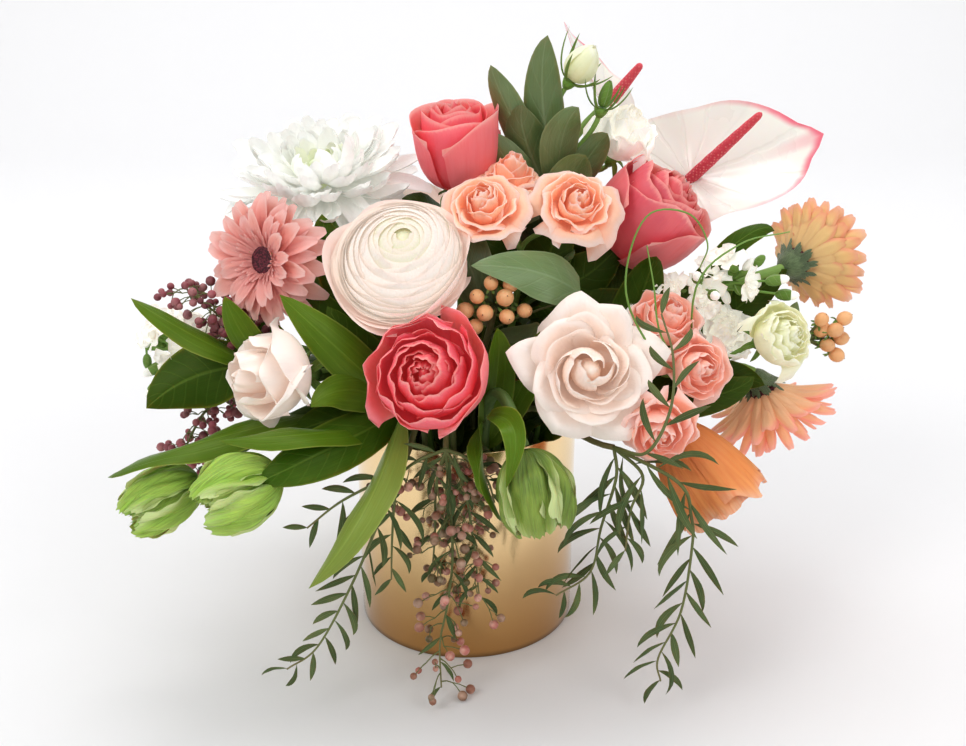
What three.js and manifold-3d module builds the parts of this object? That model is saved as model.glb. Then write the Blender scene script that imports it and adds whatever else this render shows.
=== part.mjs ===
// Table centerpiece: a loose round arrangement of cut flowers in a gold cylinder vase.
// Millimetres, +Z up. The origin is the centre of the vase's underside, and -Y is the front.
import * as THREE from "three";
import { mergeVertices } from "three/addons/utils/BufferGeometryUtils.js";
import Module from "manifold-3d";

const wasm = await Module();
wasm.setup();

// Vase: a five inch cylinder, as tall as it is wide
const VASE_DIAMETER = 127;
const VASE_HEIGHT = 127;
const VASE_WALL = 1.6;
const VASE_FLOOR = 3;
const VASE_SIDES = 40;
const EDGE_ROUND = 0.5;
const WATER_LEVEL = 86;
const WATER_SIDES = 24;

// Clearances and sheet thickness
const GAP = 0.3;
const HOLE_CLEARANCE = 0.45;
const SHEET = 1.2; // petals and leaves at their middle; their edges are sharp
const WELD = 1e-4;
const SLIVER = 0.02;
const SMOOTHING = 0.25;

// Stems stand like a fountain: each ring of places at the mouth has its own radius
const OUTER = 54;
const MIDDLE = 40;
const INNER = 25;
const HEART = 10;
const FOOT_SPREAD = 0.7; // a foot's distance from the axis, as a share of its place at the mouth
const STEM_SIDES = 5;
const BEND_STEPS = 3;
const LEAF_STATIONS = [0, 0.22, 0.5, 0.78, 1];
const EDGE_WAVES = 1.5;
const LEAFLET_WIDTH = 4.4;
const SPIRAL = 2.4; // the turn from each berry or floret to the next, in radians

const CUP_LENGTH = 1.3; // a green cup's length, as a share of its radius
const PETAL_FACET = Math.PI / 4;
const PETAL_PITCH = 3 * PETAL_FACET;
const UP = new THREE.Vector3(0, 0, 1);

const COLOURS = {
  gold: "#c9974f",
  water: "#b9cfd2",
  coral: "#e0525f",
  blush: "#f6dfd4",
  cream: "#fbeee0",
  white: "#f8f7f2",
  peach: "#fda77f",
  salmon: "#f3a090",
  gerberaPink: "#f29aa0",
  gerberaPeach: "#f3b98c",
  gerberaCoral: "#ee8573",
  budGreen: "#dfe6b4",
  orange: "#f7955a",
  tulipGreen: "#8fbf4a",
  stem: "#5f9238",
  leaf: "#3f7a22",
  foliage: "#46603a",
  berry: "#9a5158",
  hypericum: "#e8a468",
  stock: "#eef0df",
};

const { lerp, clamp, degToRad } = THREE.MathUtils;
const point = (x, y, z) => new THREE.Vector3(x, y, z);
const along = (from, direction, distance) => from.clone().addScaledVector(direction, distance);
const unit = ([x, y, z]) => point(x, y, z).normalize();
const polar = (radius, degrees, z) =>
  point(radius * Math.cos(degToRad(degrees)), radius * Math.sin(degToRad(degrees)), z);

// Solids

function solid(geometry) {
  const bare = geometry.clone();
  bare.deleteAttribute("normal");
  bare.deleteAttribute("uv");
  const merged = mergeVertices(bare, WELD);
  const corners = merged.index.array;
  const triVerts = [];
  for (let k = 0; k < corners.length; k += 3) {
    const [a, b, c] = corners.slice(k, k + 3);
    if (a !== b && b !== c && c !== a) triVerts.push(a, b, c);
  }
  const vertProperties = new Float32Array(merged.attributes.position.array);
  return new wasm.Manifold(
    new wasm.Mesh({ numProp: 3, vertProperties, triVerts: new Uint32Array(triVerts) }),
  );
}

// Joins pieces that grow together. A hollow that joining seals is filled, and a loose scrap dropped.
function fuse(pieces) {
  let joined = pieces[0];
  for (const piece of pieces.slice(1)) joined = joined.add(piece);
  const shells = joined.simplify(SMOOTHING).decompose();
  return shells.reduce((best, shell) => (shell.volume() > best.volume() ? shell : best));
}

function geometryOf(body) {
  const { vertProperties, triVerts } = body.getMesh();
  const geometry = new THREE.BufferGeometry();
  geometry.setAttribute("position", new THREE.BufferAttribute(vertProperties, 3));
  geometry.setIndex(new THREE.BufferAttribute(triVerts, 1));
  geometry.computeVertexNormals();
  return geometry;
}

function node(name, body, colour, roughness = 0.6, metalness = 0) {
  const material = new THREE.MeshStandardMaterial({ color: colour, roughness, metalness });
  const mesh = new THREE.Mesh(geometryOf(body), material);
  mesh.name = name;
  return mesh;
}

// A closed form turned about +Z; its profile runs up the outside from axis to axis.
function turned(profile, sides) {
  const points = profile.map(([radius, height]) => new THREE.Vector2(radius, height));
  return new THREE.LatheGeometry(points, sides).rotateX(Math.PI / 2);
}

// A curve's points and tangents at chosen shares of its length, which a rod along it bends at.
class Joints extends THREE.Curve {
  constructor(curve, shares) {
    super();
    this.curve = curve;
    this.shares = shares;
  }
  shareAt(t) {
    return this.shares[Math.round(t * (this.shares.length - 1))];
  }
  getPointAt(t) {
    return this.curve.getPointAt(this.shareAt(t));
  }
  getTangentAt(t) {
    return this.curve.getTangentAt(this.shareAt(t));
  }
}

function tube(curve, radius, sides, shares) {
  const corners = [];
  for (let k = 0; k < sides; k++) {
    const turn = (2 * Math.PI * k) / sides;
    corners.push(new THREE.Vector2(radius * Math.cos(turn), radius * Math.sin(turn)));
  }
  const extrudePath = new Joints(curve, shares);
  const steps = shares.length - 1;
  return solid(new THREE.ExtrudeGeometry(new THREE.Shape(corners), { steps, extrudePath }));
}

const evenly = (steps) => [...Array(steps + 1).keys()].map((k) => k / steps);

// Places a form made about +Z so that it grows from a point along an axis.
function grow(geometry, from, axis, spin = 0) {
  const turn = new THREE.Quaternion().setFromUnitVectors(UP, axis);
  geometry.rotateZ(spin).applyQuaternion(turn).translate(from.x, from.y, from.z);
  return geometry;
}

// A thin sheet with sharp edges. surface(u, v) gives its middle, u across from -1 to 1 and v along
// from 0 to 1; stations are the values of v. An end whose points coincide closes to a tip.
function sheet(surface, stations, columns, thickness = SHEET) {
  const step = 1e-3;
  const rows = stations.length - 1;
  const positions = [];
  const add = (p) => positions.push(p.x, p.y, p.z) / 3 - 1;
  const upper = [];
  const lower = [];
  stations.forEach((v, row) => {
    const across = [...Array(columns + 1).keys()].map((k) => (2 * k) / columns - 1);
    const middle = across.map((u) => surface(u, v));
    if (middle[0].distanceTo(middle[columns]) < SLIVER && middle[0].distanceTo(middle[1]) < SLIVER) {
      const tip = add(middle[0]);
      upper.push(across.map(() => tip));
      lower.push(across.map(() => tip));
      return;
    }
    const onEnd = row === 0 || row === rows;
    const above = [];
    const below = [];
    across.forEach((u, k) => {
      if (onEnd || k === 0 || k === columns) {
        const edge = add(middle[k]);
        above.push(edge);
        below.push(edge);
        return;
      }
      const alongU = surface(u + step, v).sub(surface(u - step, v));
      const alongV = surface(u, v + step).sub(surface(u, v - step));
      const normal = alongU.cross(alongV).normalize();
      above.push(add(along(middle[k], normal, thickness / 2)));
      below.push(add(along(middle[k], normal, -thickness / 2)));
    });
    upper.push(above);
    lower.push(below);
  });
  const faces = [];
  const triangle = (a, b, c) => {
    if (a !== b && b !== c && c !== a) faces.push(a, b, c);
  };
  for (let row = 0; row < rows; row++) {
    for (let k = 0; k < columns; k++) {
      const other = (row === 0) !== (k === 0) && (row === 0 || row === rows - 1);
      const cornerFlip = other && (k === 0 || k === columns - 1);
      for (const [grid, flip] of [[upper, false], [lower, true]]) {
        const quad = [grid[row][k], grid[row][k + 1], grid[row + 1][k + 1], grid[row + 1][k]];
        const [a, b, c, d] = flip ? [quad[0], quad[3], quad[2], quad[1]] : quad;
        const split = cornerFlip ? [[a, b, d], [b, c, d]] : [[a, b, c], [a, c, d]];
        split.forEach((corners) => triangle(...corners));
      }
    }
  }
  const geometry = new THREE.BufferGeometry();
  geometry.setAttribute("position", new THREE.Float32BufferAttribute(positions, 3));
  geometry.setIndex(faces);
  return geometry;
}

// Stems

const standing = []; // each stem's foot, place at the mouth and radius, for the holes in the water

function stemCurve([ring, degrees], radius, end, arrival, rise = 45, run = 30) {
  const foot = polar(ring * FOOT_SPREAD, degrees, VASE_FLOOR + GAP + radius * 0.2);
  const mouth = polar(ring, degrees, VASE_HEIGHT);
  standing.push({ foot, mouth, radius });
  const lean = mouth.clone().sub(foot).normalize();
  const path = new THREE.CurvePath();
  path.add(new THREE.LineCurve3(foot, mouth));
  path.add(
    new THREE.CubicBezierCurve3(mouth, along(mouth, lean, rise), along(end, arrival, -run), end),
  );
  return path;
}

// A stem is straight inside the vase and bends above the mouth.
function stemRod(path, radius, sides = STEM_SIDES) {
  const mouth = path.curves[0].getLength() / path.getLength();
  return tube(path, radius, sides, [0, ...evenly(BEND_STEPS).map((share) => lerp(mouth, 1, share))]);
}

// The green cup that closes a stem under its bloom.
function calyx(top, axis, radius, length) {
  const profile = [[0, -length], [radius * 0.4, -length], [radius, 0], [0, 0]];
  return solid(grow(turned(profile, STEM_SIDES), top, axis));
}

// A leaf along a path of three points, folded along its rib and waved at its edges; face is where
// its upper side looks, and widest is the share of its length at its widest place.
function leaf(path, width, face, { fold = 0.35, wave = 1.2, widest = 0.42 }) {
  const rib = new THREE.CatmullRomCurve3(path);
  const facing = unit(face);
  const surface = (u, v) => {
    const at = clamp(v, 0, 1);
    const forward = rib.getTangent(at);
    const side = facing.clone().cross(forward).normalize();
    const above = forward.clone().cross(side).normalize();
    const swell = Math.sin(Math.PI * Math.pow(at, Math.log(0.5) / Math.log(widest)));
    const half = (width / 2) * Math.pow(Math.max(swell, 0), 0.75);
    const ripple = wave * u * Math.sin(EDGE_WAVES * 2 * Math.PI * at);
    return rib
      .getPoint(at)
      .addScaledVector(side, u * half * Math.cos(fold))
      .addScaledVector(above, ripple - Math.abs(u) * half * Math.sin(fold));
  };
  return solid(sheet(surface, LEAF_STATIONS, 2));
}

// Leaves that grow from a stem's curve: from is the share of the stem's length at the leaf's root.
function leavesOn(curve, leaves) {
  return leaves.map(({ from, middle, tip, width, face, ...form }) =>
    leaf([curve.getPointAt(from), point(...middle), point(...tip)], width, face, form),
  );
}

// Blooms. Each head is made about +Z from its base, then placed by its mesh.

// The small boss that a cupped bloom's petals grow from.
function boss(radius, height) {
  const profile = [[0, 0], [radius * 0.16, 0], [radius * 0.2, height * 0.12], [0, height * 0.2]];
  return solid(turned(profile, 4));
}

// One petal of a cupped bloom: outer is 1 on the outermost petal and 0 on the innermost. Its
// columns all span the same angle, so the faces of nested petals lie one inside the other.
function cuppedPetal(shape, outer, columns) {
  const { radius, height, open, flare = 0.1, pointed = 0, crimp = 0 } = shape;
  const knots = [
    [0, lerp(0.12, 0.05, outer)],
    [lerp(0.3, 1.05 - 0.1 * open, outer), lerp(0.12, 0.05, outer)],
    [lerp(0.28, 1.25 - 0.25 * open, outer), lerp(0.9, 0.66 - 0.22 * open, outer)],
    [lerp(0.14, 0.82 + 0.2 * open + flare, outer), lerp(1, 0.92 - 0.34 * open, outer)],
  ].map(([x, y]) => new THREE.Vector2(x * radius, y * height));
  const profile = new THREE.CubicBezierCurve(...knots);
  return (u, v) => {
    const across = Math.abs(u);
    const rounded = 0.16 * Math.pow(across, 2.5);
    const drawn = pointed * outer * 0.3 * across;
    const at = profile.getPoint(clamp(v * (1 - rounded - drawn), 0, 1));
    const reach = at.x + crimp * v * radius * Math.sin(7 * u + 5 * outer);
    const turn = (u * columns * PETAL_FACET) / 2;
    return point(reach * Math.cos(turn), reach * Math.sin(turn), at.y);
  };
}

function cuppedHead(shape) {
  const { radius, height, petals, rows = 3 } = shape;
  const pieces = [boss(radius, height)];
  for (let k = 0; k < petals; k++) {
    const outer = 1 - k / (petals - 1);
    const columns = outer > 0.3 ? 3 : 4;
    const stations = outer > 0.5 && rows > 2 ? [0, 0.35, 0.7, 1] : [0, 0.5, 1];
    const petal = sheet(cuppedPetal(shape, outer, columns), stations, columns);
    pieces.push(solid(petal.rotateZ(k * PETAL_PITCH + (columns * PETAL_FACET) / 2)));
  }
  return fuse(pieces);
}

function placed(mesh, base, axis) {
  mesh.position.copy(base);
  mesh.quaternion.setFromUnitVectors(UP, axis);
  return mesh;
}

// Where a head sits: its facing, its base, and the top of the green cup just under it.
function seat({ at, axis, height }) {
  const facing = unit(axis);
  const base = along(point(...at), facing, -height / 2);
  return { facing, base, top: along(base, facing, -GAP) };
}

function headOn(name, colour, shape) {
  const { facing, base } = seat(shape);
  return placed(node(name, cuppedHead(shape), colour), base, facing);
}

// A bloom on its own stem. Leaves, if any, grow from the stem.
function cuppedBloom(name, colour, shape) {
  const { mouth, stem = 2.4, cup = 6, rise, run, leaves = [] } = shape;
  const { facing, top } = seat(shape);
  const length = cup * CUP_LENGTH;
  const curve = stemCurve(mouth, stem, along(top, facing, -length / 2), facing, rise, run);
  const green = [stemRod(curve, stem), calyx(top, facing, cup, length), ...leavesOn(curve, leaves)];
  return [headOn(name + "_bloom", colour, shape), node(name + "_stem", fuse(green), COLOURS.stem)];
}

// A closed bud, which is green as its stem is and grows in one with it.
function closedBud({ radius, height }) {
  const tip = [[radius * 0.5, height * 0.9], [0, height]];
  return turned([[0, -0.5], [radius * 0.6, 0], [radius, height * 0.4], ...tip], 7);
}

// Several small blooms that branch from one stem at a fork.
function branchingStem(name, shape) {
  const { mouth, stem = 2, fork, forkAxis = [0, 0, 1], heads, leaves = [], rise, cup = 4 } = shape;
  const parting = point(...fork);
  const upward = unit(forkAxis);
  const main = stemCurve(mouth, stem, parting, upward, rise);
  const from = along(parting, upward, -stem);
  const pieces = [stemRod(main, stem), ...leavesOn(main, leaves)];
  for (const head of heads) {
    const { facing, base, top } = seat(head);
    const end = along(top, facing, -cup * 0.8);
    const reach = parting.distanceTo(end) * 0.4;
    const bends = [along(from, upward, reach), along(end, facing, -reach)];
    const branch = new THREE.CubicBezierCurve3(from, ...bends, end);
    pieces.push(tube(branch, stem * 0.7, 3, evenly(3)));
    pieces.push(calyx(head.closed ? base : top, facing, cup, cup * CUP_LENGTH));
    if (head.closed) pieces.push(solid(grow(closedBud(head), base, facing)));
  }
  return node(name, fuse(pieces), COLOURS.stem);
}

// Half the width of a strap petal, drawn in at its root and rounded at its tip.
const STRAP_STATIONS = [0, 0.66, 1];
const strapHalf = (width, v) =>
  v > 0 && v < 1 ? (width / 2) * Math.pow(Math.sin(Math.PI * v * v), 0.6) : 0;

// A flat ring of strap petals round a disc. Each ring: count, reach, width, rise and droop at the tip.
function rayHead({ rings, discRadius, discHeight }) {
  const rim = [[discRadius * 0.8, 0], [discRadius, discHeight * 0.8]];
  const pieces = [solid(turned([[0, 0], ...rim, [0, discHeight]], 8))];
  rings.forEach(({ count, reach, width, rise, droop, base = 0.35, phase = 0 }) => {
    for (let k = 0; k < count; k++) {
      const turn = (2 * Math.PI * (k + phase)) / count;
      const length = reach * (1 - 0.06 * Math.sin(5 * k));
      const ray = (u, v) => {
        const out = lerp(discRadius * 0.5, length, v);
        const half = strapHalf(width, v);
        const up = discHeight * base + rise * v - droop * v * v;
        return point(out, u * half, up - 0.25 * half * u * u).applyAxisAngle(UP, turn);
      };
      pieces.push(solid(sheet(ray, STRAP_STATIONS, 2)));
    }
  });
  return fuse(pieces);
}

function rayBloom(name, colour, shape) {
  const { mouth, discHeight, stem = 2.6, cup = 8, rise, run } = shape;
  const { facing, base, top } = seat({ ...shape, height: 2 * discHeight });
  const curve = stemCurve(mouth, stem, along(top, facing, -cup * 0.6), facing, rise, run);
  return [
    placed(node(name + "_bloom", rayHead(shape), colour), base, facing),
    node(name + "_stem", fuse([stemRod(curve, stem), calyx(top, facing, cup, cup)]), COLOURS.stem),
  ];
}

// An incurved bloom: rings of narrow petals over a dome.
function domeHead({ radius, height, rings }) {
  const profile = [[0, 0], [0.3, 0], [0.5, 0.35], [0.28, 0.66], [0, 0.74]];
  const pieces = [solid(turned(profile.map(([x, y]) => [x * radius, y * height]), 7))];
  rings.forEach(({ count, lift, reach, width, curl, phase = 0 }) => {
    for (let k = 0; k < count; k++) {
      const turn = (2 * Math.PI * (k + phase)) / count;
      const rise = degToRad(lift + 7 * Math.sin(3 * k));
      const length = reach * (1 - 0.07 * Math.cos(4 * k));
      const petal = (u, v) => {
        const bend = rise + degToRad(curl) * v;
        const out = lerp(0.35, length, v);
        const half = strapHalf(width, v);
        const cupped = 0.6 * half * u * u;
        return point(
          radius * out * Math.cos(bend) - cupped * Math.sin(bend),
          u * half,
          height * 0.4 + height * 0.62 * out * Math.sin(bend) + cupped * Math.cos(bend),
        ).applyAxisAngle(UP, turn);
      };
      pieces.push(solid(sheet(petal, STRAP_STATIONS, 2)));
    }
  });
  return fuse(pieces);
}

function chrysanthemum(name, shape) {
  const { mouth, stem = 3, rise, run } = shape;
  const { facing, base, top } = seat(shape);
  const curve = stemCurve(mouth, stem, along(top, facing, -4), facing, rise, run);
  return [
    placed(node(name + "_bloom", domeHead(shape), COLOURS.white), base, facing),
    node(name + "_stem", fuse([stemRod(curve, stem), calyx(top, facing, 8, 8)]), COLOURS.stem),
  ];
}

// A heart shaped spathe with its spadix, on its own stem.
function anthurium(name, shape) {
  const { length, width, spadix, mouth, stem = 2.4 } = shape;
  const centre = point(...shape.at);
  const forward = unit(shape.tipward);
  const normal = unit(shape.facing);
  normal.addScaledVector(forward, -normal.dot(forward)).normalize();
  const side = normal.clone().cross(forward);
  const heart = (u, v) => {
    const turn = u * degToRad(174);
    const tip = Math.pow(Math.max(Math.cos(turn / 2), 0), 9);
    const lobe = Math.exp(-Math.pow((Math.abs(turn) - 2.2) / 0.55, 2));
    const cleft = Math.exp(-Math.pow((Math.PI - Math.abs(turn)) / 0.35, 2));
    const reach = width * (0.5 + 0.1 * lobe - 0.28 * cleft) + (length - width * 0.5) * tip;
    const out = v * reach;
    const cup = 0.16 * width * v * v * (1 - 1.4 * tip) + 3 * Math.sin(3 * turn) * v * v;
    return along(centre, forward, out * Math.cos(turn))
      .addScaledVector(side, out * Math.sin(turn))
      .addScaledVector(normal, cup);
  };
  const spike = unit(shape.spadixAxis);
  const taper = [[3, 0], [4.2, spadix * 0.15], [3.4, spadix * 0.8], [1.6, spadix]];
  const tapered = turned([[0, 0], ...taper, [0, spadix]], 7);
  const curve = stemCurve(mouth, stem, along(centre, normal, 0.2), normal);
  const spathe = solid(sheet(heart, [0, 0.4, 0.75, 1], 10));
  const pieces = [spathe, solid(grow(tapered, along(centre, spike, -1), spike)), stemRod(curve, stem)];
  return node(name, fuse(pieces), COLOURS.white);
}

// Berries, sprays and florets

// A repeatable draw between 0 and 1, from a seed.
function draws(seed) {
  let state = seed;
  return () => {
    state = (state + 0x6d2b79f5) | 0;
    let mixed = Math.imul(state ^ (state >>> 15), 1 | state);
    mixed = (mixed + Math.imul(mixed ^ (mixed >>> 7), 61 | mixed)) ^ mixed;
    return ((mixed ^ (mixed >>> 14)) >>> 0) / 4294967296;
  };
}

const route = (points) => new THREE.CatmullRomCurve3(points.map(([x, y, z]) => point(x, y, z)));

function rod(from, to, radius, sides = 3) {
  return tube(new THREE.LineCurve3(from, to), radius, sides, evenly(1));
}

function berry(at, radius, stretch = 1, axis = UP) {
  return solid(grow(new THREE.IcosahedronGeometry(radius, 0).scale(1, 1, stretch), at, axis));
}

// A small berry or bud with its stalk, as one slim turned form.
function stalked(root, out, stalk, radius) {
  const profile = [[0, 0], [0.6, 0], [0.6, stalk - radius], [radius * 1.1, stalk], [0, stalk + radius]];
  return solid(grow(turned(profile, 4), root, out));
}

// Small berries on thin stalks all round a twig, hanging a little.
function berriesOn(curve, { count, spread, radius, from = 0.1, hang = 0.5, seed }) {
  const draw = draws(seed);
  const pieces = [];
  for (let k = 0; k < count; k++) {
    const root = curve.getPointAt(from + ((1 - from) * (k + 0.5)) / count);
    const turn = k * SPIRAL;
    const out = point(Math.cos(turn), Math.sin(turn), (0.5 - draw()) * 0.8 - hang).normalize();
    pieces.push(stalked(root, out, spread * (0.5 + 0.5 * draw()) + radius, radius));
  }
  return pieces;
}

// A thin leaflet with four faces on each side, drawn in at both ends.
function leaflet(from, direction, length, width, facing) {
  const side = facing.clone().cross(direction).normalize();
  const normal = direction.clone().cross(side).normalize();
  const surface = (u, v) =>
    along(from, direction, length * v)
      .addScaledVector(side, (u * width * Math.sin(Math.PI * v)) / 2)
      .addScaledVector(normal, -0.12 * length * v * v);
  return solid(sheet(surface, [0, 0.5, 1], 2, 0.9));
}

// Narrow leaflets set in turn along both sides of a twig, shorter towards its tip.
function leafletsOn(curve, { count, length, from = 0.25 }) {
  const facing = unit([0, -1, 0.3]);
  const pieces = [];
  for (let k = 0; k < count; k++) {
    const share = from + ((0.98 - from) * k) / (count - 1);
    const forward = curve.getTangentAt(share);
    const side = facing.clone().cross(forward).normalize().multiplyScalar(k % 2 ? 1 : -1);
    const direction = forward.clone().addScaledVector(side, 0.8).normalize();
    const reach = length * lerp(1, 0.45, share);
    pieces.push(leaflet(curve.getPointAt(share), direction, reach, LEAFLET_WIDTH, facing));
  }
  return pieces;
}

// A four lobed floret, open towards out.
function floret(at, out, size, spin) {
  const corolla = (u, v) => {
    const turn = u * degToRad(172);
    const reach = v * size * (0.72 + 0.28 * Math.cos(4 * turn));
    return point(reach * Math.cos(turn), reach * Math.sin(turn), 0.45 * reach);
  };
  return solid(grow(sheet(corolla, [0, 0.5, 1], 8), at, out, spin));
}

// Florets and closed buds round the top of a stem, set in a spiral that faces the front.
function floretsOn(curve, { florets, buds, size, from, budFrom }) {
  const pieces = [];
  for (let k = 0; k < florets; k++) {
    const root = curve.getPointAt(lerp(from, 0.98, (k + 0.5) / florets));
    const turn = k * SPIRAL;
    const round = point(Math.cos(turn), 0.4 * Math.sin(turn), Math.sin(turn));
    const out = unit([0, -0.9, 0.4]).add(round).normalize();
    const centre = along(root, out, size * 1.15);
    pieces.push(rod(root, along(centre, out, 0.8), 1), floret(centre, out, size, k));
  }
  for (let k = 0; k < buds; k++) {
    const root = curve.getPointAt(lerp(budFrom, 1, k / (buds - 1)));
    const turn = k * SPIRAL + 0.6;
    const out = point(Math.cos(turn), -0.5, 0.4 + Math.sin(turn)).normalize();
    pieces.push(stalked(root, out, size * 0.75, size * 0.34));
  }
  return pieces;
}

// Vase and water

function vase() {
  const outer = VASE_DIAMETER / 2;
  const inner = outer - VASE_WALL;
  return solid(
    turned(
      [
        [0, 0],
        [outer - EDGE_ROUND, 0],
        [outer, EDGE_ROUND],
        [outer, VASE_HEIGHT - EDGE_ROUND],
        [outer - EDGE_ROUND, VASE_HEIGHT],
        [inner + EDGE_ROUND, VASE_HEIGHT],
        [inner, VASE_HEIGHT - EDGE_ROUND],
        [inner, VASE_FLOOR],
        [0, VASE_FLOOR],
      ],
      VASE_SIDES,
    ),
  );
}

function water() {
  const reach = VASE_DIAMETER / 2 - VASE_WALL - GAP;
  const bottom = VASE_FLOOR + GAP;
  const profile = [[0, bottom], [reach, bottom], [reach, WATER_LEVEL], [0, WATER_LEVEL]];
  let body = solid(turned(profile, WATER_SIDES));
  for (const stem of standing) {
    const lean = stem.mouth.clone().sub(stem.foot).normalize();
    const start = along(stem.foot, lean, -10);
    const radius = (stem.radius + HOLE_CLEARANCE) * Math.SQRT2;
    body = body.subtract(rod(start, stem.mouth, radius, 4));
  }
  return body;
}

const arrangement = new THREE.Group();
arrangement.add(node("vase", vase(), COLOURS.gold, 0.3, 1));

// Garden roses and the ranunculus
arrangement.add(
  ...cuppedBloom("rose_coral_front", COLOURS.coral, {
    at: [-17, -90, 181], axis: [-0.15, -0.83, 0.53], radius: 29, height: 44, petals: 9,
    open: 0.35, mouth: [MIDDLE, -100],
  }),
  ...cuppedBloom("rose_coral_top", COLOURS.coral, {
    at: [-5, 12, 276], axis: [-0.08, -0.15, 0.98], radius: 23.5, height: 48, petals: 7,
    open: 0, flare: 0.12, mouth: [HEART, 110],
  }),
  ...cuppedBloom("rose_coral_right", COLOURS.coral, {
    at: [101, 2, 240], axis: [0.62, -0.25, 0.74], radius: 29, height: 56, petals: 8,
    open: 0.1, flare: 0.06, mouth: [INNER, -2],
  }),
  ...cuppedBloom("rose_blush_left", COLOURS.blush, {
    at: [-97, -80, 176], axis: [-0.75, -0.6, 0.15], radius: 26, height: 44, petals: 7,
    open: 0.2, mouth: [MIDDLE, -140],
  }),
  ...cuppedBloom("rose_blush_right", COLOURS.blush, {
    at: [61, -88, 183], axis: [0.02, -0.93, 0.36], radius: 35, height: 38, petals: 10,
    open: 0.9, pointed: 0.9, mouth: [MIDDLE, -62],
  }),
  ...cuppedBloom("ranunculus", COLOURS.cream, {
    at: [-34, -54, 228], axis: [-0.1, -0.7, 0.7], radius: 33, height: 42, petals: 11,
    open: 0.45, mouth: [INNER, -120],
  }),
  ...cuppedBloom("rose_blush_back", COLOURS.blush, {
    at: [-34, 74, 222], axis: [-0.2, 0.8, 0.6], radius: 34, height: 42, petals: 8,
    open: 0.6, mouth: [MIDDLE, 112],
  }),
  ...cuppedBloom("rose_coral_back", COLOURS.coral, {
    at: [52, 78, 206], axis: [0.3, 0.8, 0.5], radius: 31, height: 44, petals: 8,
    open: 0.3, mouth: [MIDDLE, 66],
  }),
);

// Chrysanthemum and gerberas
arrangement.add(
  ...chrysanthemum("chrysanthemum", {
    at: [-82, 28, 262], axis: [-0.1, -0.35, 0.93], radius: 52, height: 56, mouth: [INNER, 160],
    rings: [
      { count: 10, lift: -6, reach: 1, width: 19, curl: 14 },
      { count: 8, lift: 18, reach: 0.88, width: 19, curl: 22, phase: 0.5 },
      { count: 6, lift: 42, reach: 0.78, width: 18, curl: 26 },
      { count: 5, lift: 66, reach: 0.8, width: 12, curl: 16, phase: 0.5 },
    ],
  }),
  ...rayBloom("gerbera_pink", COLOURS.gerberaPink, {
    at: [-104, -38, 225], axis: [-0.52, -0.82, 0.25], discRadius: 9, discHeight: 7,
    mouth: [MIDDLE, -160],
    rings: [
      { count: 12, reach: 36, width: 12, rise: 9, droop: 8 },
      { count: 11, reach: 31, width: 11, rise: 15, droop: 6, base: 0.6, phase: 0.5 },
    ],
  }),
  ...rayBloom("gerbera_peach", COLOURS.gerberaPeach, {
    at: [186, 5, 213], axis: [0.78, 0.6, 0.1], discRadius: 9, discHeight: 7, mouth: [MIDDLE, 12],
    rings: [
      { count: 12, reach: 38, width: 12, rise: 8, droop: 6 },
      { count: 7, reach: 32, width: 12, rise: 15, droop: 6, base: 0.6, phase: 0.5 },
    ],
  }),
  ...rayBloom("gerbera_coral", COLOURS.gerberaCoral, {
    at: [168, -14, 141], axis: [0.4, -0.1, -0.9], discRadius: 9, discHeight: 7,
    mouth: [OUTER, -3], rise: 28, run: 14,
    rings: [
      { count: 12, reach: 36, width: 12, rise: 14, droop: 4 },
      { count: 7, reach: 30, width: 12, rise: 20, droop: 4, base: 0.6, phase: 0.5 },
    ],
  }),
);

// Spray roses on one stem
const small = { height: 26, petals: 5, rows: 2 };
const sprayRoses = [
  { ...small, at: [10, -40, 254], axis: [-0.1, -0.65, 0.75], radius: 20, petals: 6, open: 0.6 },
  { ...small, at: [25, -6, 263], axis: [0.1, -0.3, 0.95], radius: 17, open: 0.5 },
  { ...small, at: [57, -40, 255], axis: [0.1, -0.75, 0.65], radius: 20, petals: 6, open: 0.6 },
];
arrangement.add(
  ...sprayRoses.map((head, k) => headOn("spray_rose_" + (k + 1), COLOURS.peach, head)),
  branchingStem("spray_rose_stem", {
    mouth: [INNER, -40], fork: [30, -18, 225], heads: sprayRoses,
  }),
);

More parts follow.
